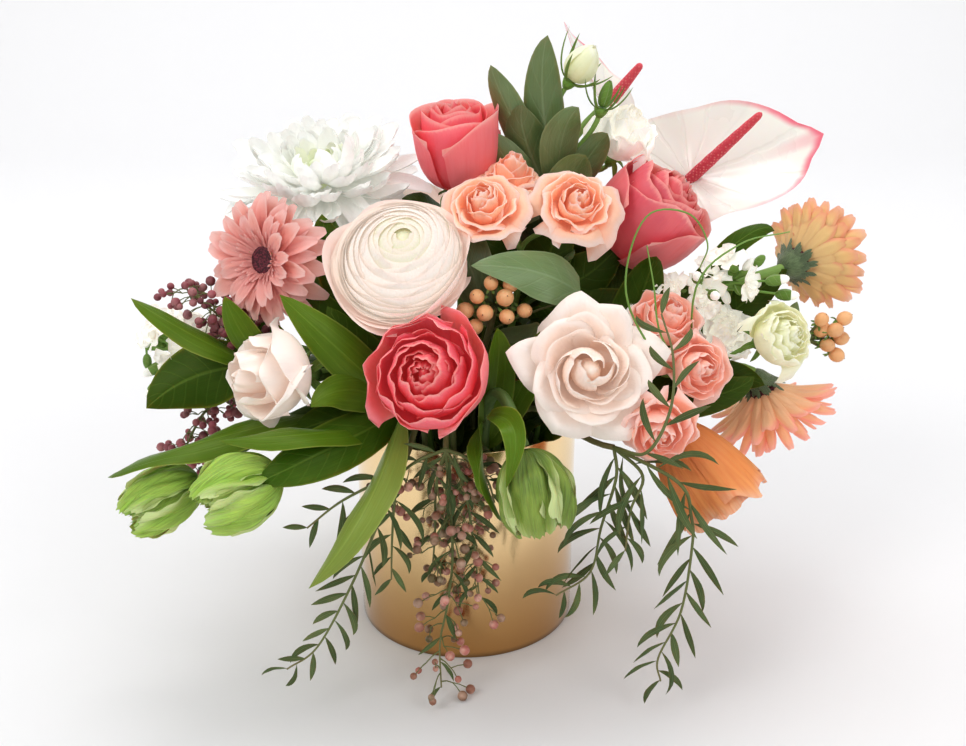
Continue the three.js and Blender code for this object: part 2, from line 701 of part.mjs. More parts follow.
// Lisianthus: salmon column, white with a green bud at the top, white and cream at the right
const salmonBlooms = [
  { ...small, at: [105, -45, 196], axis: [0.2, -0.5, 0.8], radius: 18, open: 0.5 },
  { ...small, at: [119, -64, 175], axis: [0.35, -0.85, 0.3], radius: 18, open: 0.5 },
  { ...small, at: [97, -92, 153], axis: [0.1, -0.95, -0.1], radius: 18, open: 0.5 },
];
const topBlooms = [
  { ...small, at: [87, 24, 281], axis: [0.35, -0.3, 0.85], radius: 15, height: 34, open: 0.1 },
  { at: [63, 12, 319], axis: [0.55, -0.2, 0.8], radius: 10, height: 22, closed: true },
];
const rightBlooms = [
  { ...small, at: [140, -18, 180], axis: [0.2, -0.7, 0.6], radius: 18, open: 0.6 },
  { ...small, at: [166, -42, 184], axis: [0.6, -0.55, 0.3], radius: 16, height: 28, open: 0.2 },
];
arrangement.add(
  ...salmonBlooms.map((head, k) => headOn("lisianthus_salmon_" + (k + 1), COLOURS.salmon, head)),
  branchingStem("lisianthus_salmon_stem", {
    mouth: [OUTER, -42], fork: [88, -56, 160], heads: salmonBlooms,
  }),
  headOn("lisianthus_white_top", COLOURS.white, topBlooms[0]),
  branchingStem("lisianthus_top_stem", {
    mouth: [INNER, 38], fork: [52, 18, 255], heads: topBlooms,
    leaves: [
      { from: 0.97, middle: [42, 14, 300], tip: [44, 14, 333], width: 17, face: [-0.2, -1, 0.2] },
      { from: 0.96, middle: [26, 14, 290], tip: [14, 12, 318], width: 14, face: [-0.4, -1, 0.2] },
      { from: 0.95, middle: [34, 14, 276], tip: [31, 8, 296], width: 17, face: [-0.2, -1, 0.4] },
      { from: 0.97, middle: [52, 4, 280], tip: [60, -4, 296], width: 15, face: [0.2, -1, 0.4] },
      { from: 0.94, middle: [66, 10, 268], tip: [76, 0, 284], width: 14, face: [0.2, -1, 0.5] },
    ],
  }),
  headOn("lisianthus_white_right", COLOURS.white, rightBlooms[0]),
  headOn("lisianthus_cream", COLOURS.budGreen, rightBlooms[1]),
  branchingStem("lisianthus_right_stem", {
    mouth: [MIDDLE, -18], fork: [124, -30, 154], forkAxis: [0.6, -0.1, 0.5], heads: rightBlooms,
    rise: 38,
  }),
);

// Anthuriums
arrangement.add(
  anthurium("anthurium_right", {
    at: [132, 55, 250], tipward: [0.93, -0.03, 0.36], facing: [-0.15, -0.75, 0.65],
    length: 68, width: 74, spadix: 62, spadixAxis: [0.5, -0.53, 0.69], mouth: [MIDDLE, 36],
  }),
  anthurium("anthurium_back", {
    at: [83, 74, 289], tipward: [-0.45, 0, 0.9], facing: [0.9, -0.38, 0.2],
    length: 48, width: 38, spadix: 36, spadixAxis: [0.5, -0.48, 0.75], mouth: [INNER, 80],
  }),
);

// Poppy and tulips, which nod over the rim
arrangement.add(
  ...cuppedBloom("poppy", COLOURS.orange, {
    at: [123, -66, 120], axis: [0.6, -0.3, -0.75], radius: 22, height: 60, petals: 4, rows: 3,
    open: 0, flare: 0.3, crimp: 0.04, mouth: [OUTER, -25], stem: 1.8, cup: 4, rise: 50, run: 30,
  }),
  ...cuppedBloom("tulip_left_outer", COLOURS.tulipGreen, {
    at: [-152, -94, 116], axis: [-0.8, -0.42, -0.4], radius: 15, height: 46, petals: 6, rows: 2,
    open: 0, flare: -0.3, crimp: 0.05, mouth: [OUTER, -146], stem: 3, cup: 4,
    leaves: [
      { from: 0.6, middle: [-130, -92, 146], tip: [-176, -98, 130], width: 22, face: [0, -0.5, 1] },
    ],
  }),
  ...cuppedBloom("tulip_left_inner", COLOURS.tulipGreen, {
    at: [-110, -106, 126], axis: [-0.87, -0.3, -0.35], radius: 17, height: 48, petals: 6, rows: 2,
    open: 0, flare: -0.2, crimp: 0.05, mouth: [OUTER, -130], stem: 3, cup: 4,
    leaves: [
      { from: 0.6, middle: [-73, -104, 156], tip: [-115, -114, 157], width: 18, face: [0, -0.4, 1] },
    ],
  }),
  ...cuppedBloom("tulip_front", COLOURS.tulipGreen, {
    at: [35, -108, 127], axis: [0.25, -0.3, -0.92], radius: 15, height: 46, petals: 6, rows: 2,
    open: 0, flare: -0.2, crimp: 0.05, mouth: [OUTER, -79], stem: 3, cup: 4,
    leaves: [
      { from: 0.6, middle: [17, -64, 170], tip: [17, -70, 199], width: 20, face: [0.3, -1, 0.2] },
      { from: 0.58, middle: [32, -60, 168], tip: [39, -66, 196], width: 20, face: [-0.3, -1, 0.2] },
    ],
  }),
);

// Stock, hypericum and pepper tree sprays
function stock(name, { mouth, end, arrival, rise, leaves = [], ...flowers }) {
  const curve = stemCurve(mouth, 2, point(...end), unit(arrival), rise);
  const pieces = [stemRod(curve, 2), ...floretsOn(curve, flowers), ...leavesOn(curve, leaves)];
  return node(name, fuse(pieces), COLOURS.stock);
}

function hypericum(name, { mouth, fork, forkAxis, berries, leaves = [] }) {
  const curve = stemCurve(mouth, 1.8, point(...fork), unit(forkAxis));
  const pieces = [stemRod(curve, 1.8, 4)];
  for (const place of berries) {
    const at = point(...place);
    const outward = at.clone().sub(curve.getPoint(1)).normalize();
    pieces.push(rod(curve.getPoint(1), at, 0.9), berry(at, 4.2, 1.25, outward));
  }
  return node(name, fuse([...pieces, ...leavesOn(curve, leaves)]), COLOURS.hypericum);
}

function pepperSpray(name, colour, { mouth, first, firstAxis, branches, rise, run }) {
  const stem = stemCurve(mouth, 1.6, point(...first), unit(firstAxis), rise, run);
  const pieces = [stemRod(stem, 1.6, 4)];
  for (const { points, leaflets, berries } of branches) {
    const curve = route([first, ...points]);
    pieces.push(tube(curve, 1, 3, evenly(points.length * 2)));
    if (leaflets) pieces.push(...leafletsOn(curve, leaflets));
    if (berries) pieces.push(...berriesOn(curve, berries));
  }
  return node(name, fuse(pieces), colour);
}

arrangement.add(
  stock("stock_left", {
    mouth: [OUTER, 186], end: [-176, -16, 170], arrival: [-0.9, 0, 0.1], rise: 60,
    florets: 3, buds: 3, size: 11, from: 0.84, budFrom: 0.94,
  }),
  stock("stock_right", {
    mouth: [MIDDLE, -38], end: [152, -24, 216], arrival: [0.6, -0.5, 0.5],
    florets: 3, buds: 4, size: 11, from: 0.8, budFrom: 0.92,
    leaves: [
      { from: 0.85, middle: [146, -22, 232], tip: [164, -20, 236], width: 13, face: [0, -0.7, 0.7] },
    ],
  }),
  hypericum("hypericum_centre", {
    mouth: [INNER, -80], fork: [16, -44, 203], forkAxis: [0.1, -0.3, 1],
    berries: [
      [7, -60, 212], [14, -60, 219], [21, -62, 212], [11, -62, 204],
      [22, -62, 202], [24, -58, 220], [31, -58, 204],
    ],
    leaves: [
      { from: 0.98, middle: [34, -54, 232], tip: [6, -64, 231], width: 26, face: [0, -0.6, 0.8] },
    ],
  }),
  hypericum("hypericum_right", {
    mouth: [OUTER, 15], fork: [188, -14, 174], forkAxis: [0.85, -0.5, 0.15],
    berries: [
      [194, -20, 187], [202, -20, 181], [208, -18, 187], [199, -19, 172], [206, -18, 166],
    ],
    leaves: [
      { from: 0.97, middle: [178, -17, 184], tip: [180, -19, 197], width: 12, face: [-0.3, -1, 0] },
    ],
  }),
  pepperSpray("pepper_berries_left", COLOURS.berry, {
    mouth: [OUTER, 171], first: [-110, -20, 148], firstAxis: [-1, -0.2, 0.1], rise: 35,
    branches: [
      {
        points: [[-116, -28, 176], [-146, -36, 210]],
        berries: { count: 7, spread: 11, radius: 2.8, hang: 0, seed: 11 },
      },
      {
        points: [[-138, -32, 142], [-152, -38, 122], [-160, -44, 104]],
        berries: { count: 6, spread: 10, radius: 2.8, seed: 12 },
      },
    ],
  }),
  pepperSpray("pepper_berries_front", COLOURS.berry, {
    mouth: [OUTER, -96], first: [-9, -80, 137], firstAxis: [0, -0.8, -0.3],
    branches: [
      {
        points: [[-7, -84, 110], [-6, -83, 76], [-9, -84, 48], [-13, -90, 28], [-12, -106, 8]],
        berries: { count: 9, spread: 10, radius: 2.7, seed: 21 },
        leaflets: { count: 4, length: 26, from: 0.1 },
      },
      {
        points: [[0, -82, 118], [5, -80, 84], [8, -80, 50]],
        berries: { count: 5, spread: 9, radius: 2.7, seed: 22 },
        leaflets: { count: 4, length: 26, from: 0.2 },
      },
    ],
  }),
  pepperSpray("pepper_leaves_right", COLOURS.foliage, {
    mouth: [OUTER, -60], first: [76, -84, 140], firstAxis: [0.8, -0.5, 0.1],
    branches: [
      {
        points: [
          [106, -104, 130], [113, -106, 112], [114, -108, 97],
          [110, -112, 62], [100, -112, 34], [102, -112, 18],
        ],
        leaflets: { count: 12, length: 42 },
      },
      {
        points: [[77, -90, 126], [70, -94, 100], [65, -96, 75], [48, -94, 60]],
        leaflets: { count: 9, length: 36, from: 0.15 },
      },
    ],
  }),
  pepperSpray("pepper_leaves_left", COLOURS.foliage, {
    mouth: [OUTER, -113], first: [-32, -84, 128], firstAxis: [-0.3, -0.8, -0.3],
    branches: [
      {
        points: [[-43, -98, 104], [-57, -107, 73], [-75, -112, 40], [-91, -115, 28]],
        leaflets: { count: 12, length: 32, from: 0.2 },
      },
      {
        points: [[-35, -88, 112], [-37, -88, 89], [-38, -88, 66]],
        leaflets: { count: 5, length: 22, from: 0.3 },
      },
    ],
  }),
);

// Broad greens
function greens(name, { mouth, end, arrival, stem = 2, leaves }) {
  const curve = stemCurve(mouth, stem, point(...end), unit(arrival));
  return node(name, fuse([stemRod(curve, stem), ...leavesOn(curve, leaves)]), COLOURS.leaf);
}

arrangement.add(
  greens("greens_left", {
    mouth: [MIDDLE, 180], end: [-116, -46, 170], arrival: [-0.9, -0.3, 0.3],
    leaves: [
      { from: 0.97, middle: [-140, -58, 192], tip: [-168, -56, 210], width: 17, face: [0.3, -0.5, 1] },
      { from: 0.97, middle: [-142, -46, 164], tip: [-168, -52, 148], width: 38, face: [0.2, -1, 0.5] },
      { from: 0.94, middle: [-112, -60, 192], tip: [-118, -66, 214], width: 17, face: [0, -1, 0.2] },
    ],
  }),
  greens("greens_front", {
    mouth: [MIDDLE, -120], end: [-33, -62, 150], arrival: [-0.3, -0.8, 0.4],
    leaves: [
      { from: 0.96, middle: [-60, -72, 186], tip: [-90, -70, 216], width: 22, face: [0.3, -1, 0.3] },
      { from: 0.98, middle: [-56, -76, 168], tip: [-74, -94, 166], width: 20, face: [0, -1, 0.6] },
      { from: 0.99, middle: [-46, -112, 122], tip: [-76, -120, 80], width: 21, face: [-0.5, -0.9, 0.4] },
    ],
  }),
  greens("greens_back", {
    mouth: [OUTER, 90], end: [4, 74, 168], arrival: [0, 0.7, 0.7],
    leaves: [
      { from: 0.88, middle: [-46, 92, 164], tip: [-92, 112, 152], width: 34, face: [-0.2, 0.3, 1] },
      { from: 0.92, middle: [-60, 80, 184], tip: [-112, 86, 200], width: 34, face: [-0.2, 0.6, 0.8] },
      { from: 0.9, middle: [10, 104, 156], tip: [14, 138, 128], width: 36, face: [0, 0.6, 0.8] },
      { from: 0.86, middle: [60, 90, 158], tip: [108, 106, 148], width: 34, face: [0.2, 0.3, 1] },
      { from: 0.98, middle: [8, 110, 186], tip: [6, 132, 206], width: 28, face: [0, -0.4, 1] },
      { from: 0.95, middle: [70, 68, 176], tip: [118, 70, 192], width: 32, face: [0.2, 0.5, 0.8] },
    ],
  }),
);

arrangement.add(node("water", water(), COLOURS.water, 0.1));

export default arrangement;
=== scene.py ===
"""A loose round table centerpiece of cut flowers in a gold cylinder vase."""

import math

import bmesh
import bpy
import numpy as np
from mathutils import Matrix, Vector


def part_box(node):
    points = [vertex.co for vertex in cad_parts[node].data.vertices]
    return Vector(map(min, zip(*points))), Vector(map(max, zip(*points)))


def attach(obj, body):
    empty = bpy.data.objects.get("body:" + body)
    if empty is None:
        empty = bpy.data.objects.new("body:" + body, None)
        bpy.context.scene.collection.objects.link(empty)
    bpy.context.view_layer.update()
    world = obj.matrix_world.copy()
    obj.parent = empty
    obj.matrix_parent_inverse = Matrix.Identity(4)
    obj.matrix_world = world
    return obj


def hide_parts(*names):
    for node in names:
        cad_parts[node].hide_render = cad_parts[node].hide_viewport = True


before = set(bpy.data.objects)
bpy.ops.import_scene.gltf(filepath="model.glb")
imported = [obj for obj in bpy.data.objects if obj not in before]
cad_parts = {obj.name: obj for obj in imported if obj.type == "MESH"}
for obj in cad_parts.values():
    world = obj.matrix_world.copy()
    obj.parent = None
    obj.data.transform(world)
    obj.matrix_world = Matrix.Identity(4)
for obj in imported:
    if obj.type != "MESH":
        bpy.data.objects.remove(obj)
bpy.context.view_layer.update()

bl_info = {
    "name": "Floral Table Centerpiece",
    "version": (1, 0, 0),
    "blender": (4, 5, 0),
    "location": "View3D > Sidebar > Centerpiece",
    "description": "Builds a table arrangement of garden flowers, its vase and its studio",
    "category": "Object",
}

MILLIMETRE = 0.001
GOLDEN = math.radians(137.5)
STAR = math.radians(144)
UP = np.array((0.0, 0.0, 1.0))
# Points closer than JOIN become one, and faces thinner than SLIVER go, both in metres
JOIN, SLIVER = 2e-6, 1e-7
CREASE = math.radians(80)
# How far hanging foliage may reach to the left, to the front and down
LOWEST = np.array((-177.0, -119.5, 5.0))

# The vase and the stems in it, in millimetres, as the solids have them
VASE_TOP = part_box("vase")[1][2] / MILLIMETRE
VASE_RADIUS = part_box("vase")[1][0] / MILLIMETRE
VASE_FLOOR = 3.0
GAP = 0.3
FOOT_SPREAD = 0.7
OUTER, MIDDLE, INNER, HEART = 54, 40, 25, 10

# The photograph's view of the vase
CAMERA_DISTANCE = 630
CAMERA_TILT = math.radians(20.6)
CAMERA_AIM = (10, 0, 148.5)
LENS = 41.0
SENSOR = 36.0


# Settings


def millimetres(name, description, default):
    """A length setting, with its default in millimetres."""
    return bpy.props.FloatProperty(
        name=name, description=description, default=default * MILLIMETRE, min=0.0, unit="LENGTH"
    )


def colour(name, description, code):
    """A colour setting. Its code is written as on a paint chart; Blender holds linear light."""
    channels = [int(code[k : k + 2], 16) / 255 for k in (0, 2, 4)]
    linear = [c / 12.92 if c <= 0.04045 else ((c + 0.055) / 1.055) ** 2.4 for c in channels]
    return bpy.props.FloatVectorProperty(
        name=name, description=description, default=linear, size=3, min=0, max=1, subtype="COLOR"
    )


class CenterpieceSizes(bpy.types.PropertyGroup):
    """Sizes that do not move any bloom."""

    vase_wall: millimetres("Vase wall", "Thickness of the vase's wall", 1.6)
    petal: millimetres("Petal", "Thickness of a petal at its middle", 0.5)
    leaf: millimetres("Leaf", "Thickness of a leaf at its middle", 0.6)
    pepper_berry: millimetres("Pepper berry", "Diameter of a pepper tree berry", 5.0)
    hypericum_berry: millimetres("Hypericum berry", "Diameter of a hypericum berry", 8.6)
    tendril: millimetres("Tendril", "Diameter of a vine tendril", 1.3)


class CenterpieceColours(bpy.types.PropertyGroup):
    """Main colours of the vase, the blooms and the foliage."""

    gold: colour("Gold", "Metal of the vase", "D6AC74")
    coral: colour("Coral", "Garden roses, deep", "F76E80")
    coral_rim: colour("Coral rim", "Rims of the coral roses", "FDB0A6")
    blush: colour("Blush", "Garden roses, pale", "FFF1E8")
    blush_heart: colour("Blush heart", "Inside the pale roses", "FBC294")
    cream: colour("Cream", "Ranunculus", "FDF6EE")
    white: colour("White", "Chrysanthemum and white blooms", "FFFFFC")
    peach: colour("Peach", "Spray roses", "FFC6A9")
    salmon: colour("Salmon", "Lisianthus", "FFC9BC")
    gerbera_pink: colour("Gerbera pink", "Gerbera at the left", "F6A79C")
    gerbera_peach: colour("Gerbera peach", "Gerbera at the far right", "FAC684")
    gerbera_coral: colour("Gerbera coral", "Gerbera that faces down", "F3B894")
    poppy: colour("Poppy", "Poppy petals", "FC9F5C")
    tulip: colour("Tulip", "Green of the parrot tulips", "A4C856")
    stem: colour("Stem", "Stems and green cups", "7DA54C")
    leaf: colour("Leaf", "Broad leaves", "3F6210")
    foliage: colour("Foliage", "Fine pepper tree leaflets", "4E6440")
    pepper: colour("Pepper berry", "Pepper tree berries", "A0525C")
    hypericum: colour("Hypericum", "Hypericum berries", "EFB782")
    water: colour("Water", "Water in the vase", "DCE9E6")


def size(name):
    """A size of the settings, in millimetres."""
    return getattr(bpy.context.scene.centerpiece_sizes, name) / MILLIMETRE


def tint(name):
    """A colour of the settings."""
    return tuple(getattr(bpy.context.scene.centerpiece_colours, name))


# Points, curves and grids, in millimetres


def lerp(start, end, share):
    """The value at a share of the way from start to end."""
    return start + (end - start) * share


def unit(vector):
    """The same direction with a length of 1."""
    vector = np.asarray(vector, float)
    return vector / np.linalg.norm(vector)


def polar(radius, degrees, height):
    """The point at that distance and angle from the vase's middle line."""
    turn = math.radians(degrees)
    return np.array((radius * math.cos(turn), radius * math.sin(turn), height))


def wrapped(radius, turn, height):
    """Points about +Z, as arrays of radius, angle and height."""
    return np.stack((radius * np.cos(turn), radius * np.sin(turn), height), -1)


def spun(x, y, z, turn):
    """Points turned about +Z by one angle."""
    c, s = math.cos(turn), math.sin(turn)
    return np.stack((x * c - y * s, x * s + y * c, z), -1)


def bezier(handles, share):
    """Points of a cubic curve, with share as an array of any shape, or a number of even steps."""
    a, b, c, d = (np.asarray(h, float) for h in handles)
    share = np.linspace(0, 1, share) if isinstance(share, int) else share
    t = np.asarray(share, float)[..., None]
    s = 1 - t
    return a * s**3 + 3 * b * s**2 * t + 3 * c * s * t**2 + d * t**3


def through(points, steps=8):
    """A smooth run of points through the given ones."""
    knots = np.asarray(points, float)
    knots = np.vstack((2 * knots[0] - knots[1], knots, 2 * knots[-1] - knots[-2]))
    shares = np.linspace(0, 1, steps, endpoint=False)
    runs = []
    for a, b, c, d in zip(knots, knots[1:], knots[2:], knots[3:]):
        runs.append(bezier((b, b + (c - a) / 6, c - (d - b) / 6, c), shares))
    return np.vstack((*runs, knots[-2:-1]))


def along(path, share):
    """The point and the direction at a share of a path's length."""
    lengths = np.concatenate(([0], np.cumsum(np.linalg.norm(np.diff(path, axis=0), axis=1))))
    place = share * lengths[-1]
    k = min(max(np.searchsorted(lengths, place) - 1, 0), len(path) - 2)
    step = lengths[k + 1] - lengths[k]
    return lerp(path[k], path[k + 1], (place - lengths[k]) / step), unit(path[k + 1] - path[k])


def smooth(low, high, value):
    """0 below low and 1 above high, with a soft rise between."""
    t = np.clip((value - low) / (high - low), 0, 1)
    return t * t * (3 - 2 * t)


def mesh_grid(rows, columns):
    """across runs from -1 to 1 and up from 0 to 1, as two arrays of rows by columns."""
    return np.meshgrid(np.linspace(-1, 1, columns), np.linspace(0, 1, rows))


def grid_faces(index):
    """The four-cornered faces of a grid of point numbers."""
    corners = (index[:-1, :-1], index[:-1, 1:], index[1:, 1:], index[1:, :-1])
    return np.stack(corners, -1).reshape(-1, 4)


class Seat:
    """Where a bloom sits: its middle, its facing and its height, as in the solids."""

    def __init__(self, at, axis, height=0):
        self.facing = unit(axis)
        self.turn = np.array(Vector((0, 0, 1)).rotation_difference(Vector(axis)).to_matrix())
        self.base = np.asarray(at, float) - self.facing * height / 2
        self.under = self.base - self.facing * GAP

    def place(self, points):
        """Points about +Z, moved to this seat."""
        return points @ self.turn.T + self.base


class Form:
    """Gathers the points, faces and marks of one piece, then makes its object.

    A mark is four numbers on each point, which the finishes read: across and up for the place on
    a petal or leaf, layer from 0 in the heart to 1 outside, and luck, which differs from one
    petal to the next. The seed is a number, or the piece's name.
    """

    def __init__(self, seed):
        seed = sum(map(ord, seed)) if isinstance(seed, str) else seed
        self.draw = np.random.default_rng(seed)
        self.points, self.marks, self.faces, self.slots = [], [], [], []
        self.total = 0

    def mark(self, across, up, layer):
        """The marks of one part, which shares one luck."""
        return np.stack(np.broadcast_arrays(across, up, layer, self.draw.random()), -1)

    def add(self, points, marks, faces, slot):
        """One more part; slot is the number of its finish on the piece."""
        self.points.append(points.reshape(-1, 3))
        self.marks.append(marks.reshape(-1, 4))
        self.faces.append(faces + self.total)
        self.slots.append(np.full(len(faces), slot))
        self.total += points.size // 3

    def surface(self, points, marks, slot=0):
        """A grid of points as one open surface."""
        rows, columns = points.shape[:2]
        self.add(points, marks, grid_faces(np.arange(rows * columns).reshape(rows, columns)), slot)

    def sheet(self, points, thickness, layer=1.0, slot=0):
        """A grid of points as a thin closed sheet with a fine edge."""
        rows, columns = points.shape[:2]
        across, up = mesh_grid(rows, columns)
        slope = np.gradient(points, axis=(0, 1))
        normal = np.cross(slope[1], slope[0])
        normal /= np.maximum(np.linalg.norm(normal, axis=-1, keepdims=True), 1e-9)
        half = thickness / 2 * (1 - across**8) * (1 - up**8) * np.minimum(1, 6 * up)
        lift = normal * half[..., None]
        marks = self.mark(across, up, layer)
        index = np.arange(rows * columns).reshape(rows, columns)
        under = index + rows * columns
        for rim in (slice(None), (0, -1)), ((0, -1), slice(None)):
            under[rim] = index[rim]
        faces = np.vstack((grid_faces(index), grid_faces(under)[:, ::-1]))
        self.add(np.stack((points + lift, points - lift)), np.stack((marks, marks)), faces, slot)

    def turned(self, profile, seat=None, sides=20, layer=1.0, slot=0, ripple=None):
        """A form turned about +Z; its profile is radius and height from axis to axis."""
        profile = np.asarray(profile, float)
        turn, row = np.meshgrid(np.linspace(0, 2 * math.pi, sides + 1), np.arange(len(profile)))
        radius, height = profile[row, 0], profile[row, 1]
        if ripple is not None:
            radius = radius * ripple(turn, height)
        points = wrapped(radius, turn, height)
        marks = self.mark(turn / math.pi - 1, row / (len(profile) - 1), layer)
        self.surface(points if seat is None else seat.place(points), marks, slot)

    def tube(self, path, radius, sides=8, slot=0):
        """A round rod along a path; radius may be one number or one for each point."""
        path = np.asarray(path, float)
        forward = np.gradient(path, axis=0)
        forward /= np.linalg.norm(forward, axis=1, keepdims=True)
        side = np.cross(forward[0], UP if abs(forward[0][2]) < 0.9 else (1, 0, 0))
        turn = np.linspace(0, 2 * math.pi, sides + 1)
        rings = []
        for at, ahead, reach in zip(path, forward, np.broadcast_to(radius, len(path))):
            side = unit(side - ahead * side.dot(ahead))
            other = np.cross(ahead, side)
            ring = np.cos(turn)[:, None] * side + np.sin(turn)[:, None] * other
            rings.append(at + ring * reach)
        ends = (np.repeat(path[k][None], sides + 1, 0) for k in (0, -1))
        rings = [next(ends), *rings, next(ends)]
        up = np.linspace(0, 1, len(rings))[:, None]
        self.surface(np.array(rings), self.mark(turn / math.pi - 1, up, 1.0), slot)

    def piece(self, name, slot, node, *finishes):
        """Makes the object, in metres, on the part's one body, in place of its solid."""
        mesh = bpy.data.meshes.new(name)
        points = np.vstack(self.points) * MILLIMETRE
        mesh.from_pydata(points.tolist(), [], np.vstack(self.faces).tolist())
        petal = mesh.attributes.new("petal", "FLOAT_COLOR", "POINT")
        petal.data.foreach_set("color", np.vstack(self.marks).astype(np.float32).ravel())
        mesh.polygons.foreach_set("material_index", np.concatenate(self.slots).astype(np.int32))
        welded = bmesh.new()
        welded.from_mesh(mesh)
        bmesh.ops.remove_doubles(welded, verts=welded.verts, dist=JOIN)
        bmesh.ops.dissolve_degenerate(welded, edges=welded.edges, dist=SLIVER)
        welded.to_mesh(mesh)
        welded.free()
        mesh.shade_smooth()
        mesh.set_sharp_from_angle(angle=CREASE)
        for finish in finishes:
            mesh.materials.append(finish_named(finish))
        piece = bpy.data.objects.new(name, mesh)
        bpy.context.scene.collection.objects.link(piece)
        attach(piece, "root")
        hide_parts(node)


# Finishes


class Socket:
    """A shader output that takes part in Python sums. Each sum adds a Math node."""

    def __init__(self, finish, link):
        self.finish = finish
        self.link = link

    def maths(self, operation, *terms):
        return self.finish.node("ShaderNodeMath", {"operation": operation}, dict(enumerate(terms)))

    def __add__(self, other):
        return self.maths("ADD", self, other)

    def __sub__(self, other):
        return self.maths("SUBTRACT", self, other)

    def __rsub__(self, other):
        return self.maths("SUBTRACT", other, self)

    def __mul__(self, other):
        return self.maths("MULTIPLY", self, other)

    def __pow__(self, other):
        return self.maths("POWER", self, other)

    def __abs__(self):
        return self.maths("ABSOLUTE", self)

    __radd__ = __add__
    __rmul__ = __mul__

    def sine(self):
        return self.maths("SINE", self)

    def step(self, low, high):
        """0 below low and 1 above high, with a soft rise between."""
        settings = {"interpolation_type": "SMOOTHSTEP"}
        return self.finish.node("ShaderNodeMapRange", settings, {0: self, 1: low, 2: high})


FINISHES = {}


class Finish:
    """One procedural material under construction."""

    def __init__(self, name, **constants):
        FINISHES[name] = material = bpy.data.materials.new(name)
        material.use_nodes = True
        self.tree = material.node_tree
        self.shader = self.tree.nodes["Principled BSDF"]
        for socket, value in constants.items():
            self.shader.inputs[socket.replace("_", " ")].default_value = value

    def node(self, kind, settings=None, inputs=None, output=0):
        """Any shader node: its settings first, then values or links for its sockets."""
        node = self.tree.nodes.new(kind)
        for setting, value in (settings or {}).items():
            setattr(node, setting, value)
        for key, value in (inputs or {}).items():
            if isinstance(value, Socket):
                self.tree.links.new(value.link, node.inputs[key])
            else:
                node.inputs[key].default_value = value
        return Socket(self, node.outputs[output])

    def mix(self, share, first, second):
        """The first colour at a share of 0 and the second at 1."""
        first, second = (c if isinstance(c, Socket) else (*c, 1.0) for c in (first, second))
        settings = {"data_type": "RGBA"}
        return self.node("ShaderNodeMix", settings, {0: share, 6: first, 7: second}, output=2)

    def object_place(self):
        return self.node("ShaderNodeTexCoord", output="Object")

    def marks(self):
        """across, up, layer and luck, from the mesh."""
        attribute = {"attribute_name": "petal"}
        place = self.node("ShaderNodeAttribute", attribute, output="Vector")
        luck = self.node("ShaderNodeAttribute", attribute, output="Alpha")
        parts = [self.node("ShaderNodeSeparateXYZ", None, {0: place}, output=k) for k in range(3)]
        return (*parts, luck)

    def spots(self, scale, detail=2.0, place=None):
        """Soft random spots, in the piece's own space unless another place is given."""
        settings = {"Vector": place or self.object_place(), "Scale": scale, "Detail": detail}
        return self.node("ShaderNodeTexNoise", None, settings)

    def streaks(self, scale, detail, across_scale, up_scale, luck_scale):
        """Fine streaks from root to tip, other ones on each petal."""
        across, up, _, luck = self.marks()
        parts = {0: across * across_scale, 1: up * up_scale, 2: luck * luck_scale}
        return self.spots(scale, detail, self.node("ShaderNodeCombineXYZ", None, parts))

    def feed(self, **values):
        """Links values that vary to the shader's sockets."""
        for socket, value in values.items():
            self.tree.links.new(value.link, self.shader.inputs[socket.replace("_", " ")])

    def bump(self, height, strength, distance):
        """Fine relief, with its depth in millimetres."""
        relief = {"Height": height, "Strength": strength, "Distance": distance * MILLIMETRE}
        self.feed(Normal=self.node("ShaderNodeBump", None, relief))


def shade(colour, factor):
    """A colour made darker or lighter."""
    return tuple(min(1.0, c * factor) for c in colour)


def blend(first, second, share):
    """A colour between two others."""
    return tuple(lerp(a, b, share) for a, b in zip(first, second))


def petal_finish(name, body, heart, rim, rim_from=0.86, rim_share=0.8, root=None, flush=0.5,
                 inner_to=0.75, veins=0.1, outer_tint=None, roughness=0.5, glow=0.35, low=0.7,
                 sides=0.03, light=0.0, streaks=None, relief=0.5):
    """A soft petal: heart colour inside and low down, fine streaks, a pale rim, and a painted glow.
    """
    made = Finish(name, Roughness=roughness, Subsurface_Weight=glow, Subsurface_Scale=0.006,
                  Subsurface_Radius=(1.0, 0.6, 0.45), Specular_IOR_Level=0.3,
                  Emission_Strength=light)
    across, up, layer, luck = made.marks()
    streaks = streaks or blend(body, heart, 0.8)
    streak = made.streaks(2.6, 3.0, 9, 0.9, 41)
    cloud = made.spots(70.0, 3.0)
    depth = (1 - up.step(0.3, 0.95)) * low + (1 - layer.step(0.0, inner_to)) * flush
    coat = made.mix(depth.maths("MINIMUM", depth, 1.0), body, heart)
    if outer_tint is not None:
        coat = made.mix(layer.step(0.8, 1.0) * 0.8, coat, outer_tint)
    if root is not None:
        coat = made.mix(1 - up.step(0.0, 0.3), coat, root)
    edge = (up + abs(across) ** 4 * sides + (streak - 0.5) * 0.1).step(rim_from, 1.0)
    coat = made.mix(edge * rim_share, coat, rim)
    coat = made.mix(streak.step(0.35, 0.75) * veins * 2, coat, streaks)
    coat = made.mix(cloud.step(0.35, 0.7) * 0.08, coat, rim)
    coat = made.mix((luck - 0.5) * 0.2 + 0.1, coat, streaks)
    made.feed(Base_Color=coat, Roughness=roughness + (streak - 0.5) * 0.2)
    # light is an emission in the petal's own colour: a painted glow that lifts the shade in the
    # folds, though a petal is no lamp
    if light:
        made.feed(Emission_Color=coat)
    made.bump(streak + cloud * 0.4, relief, 0.5)


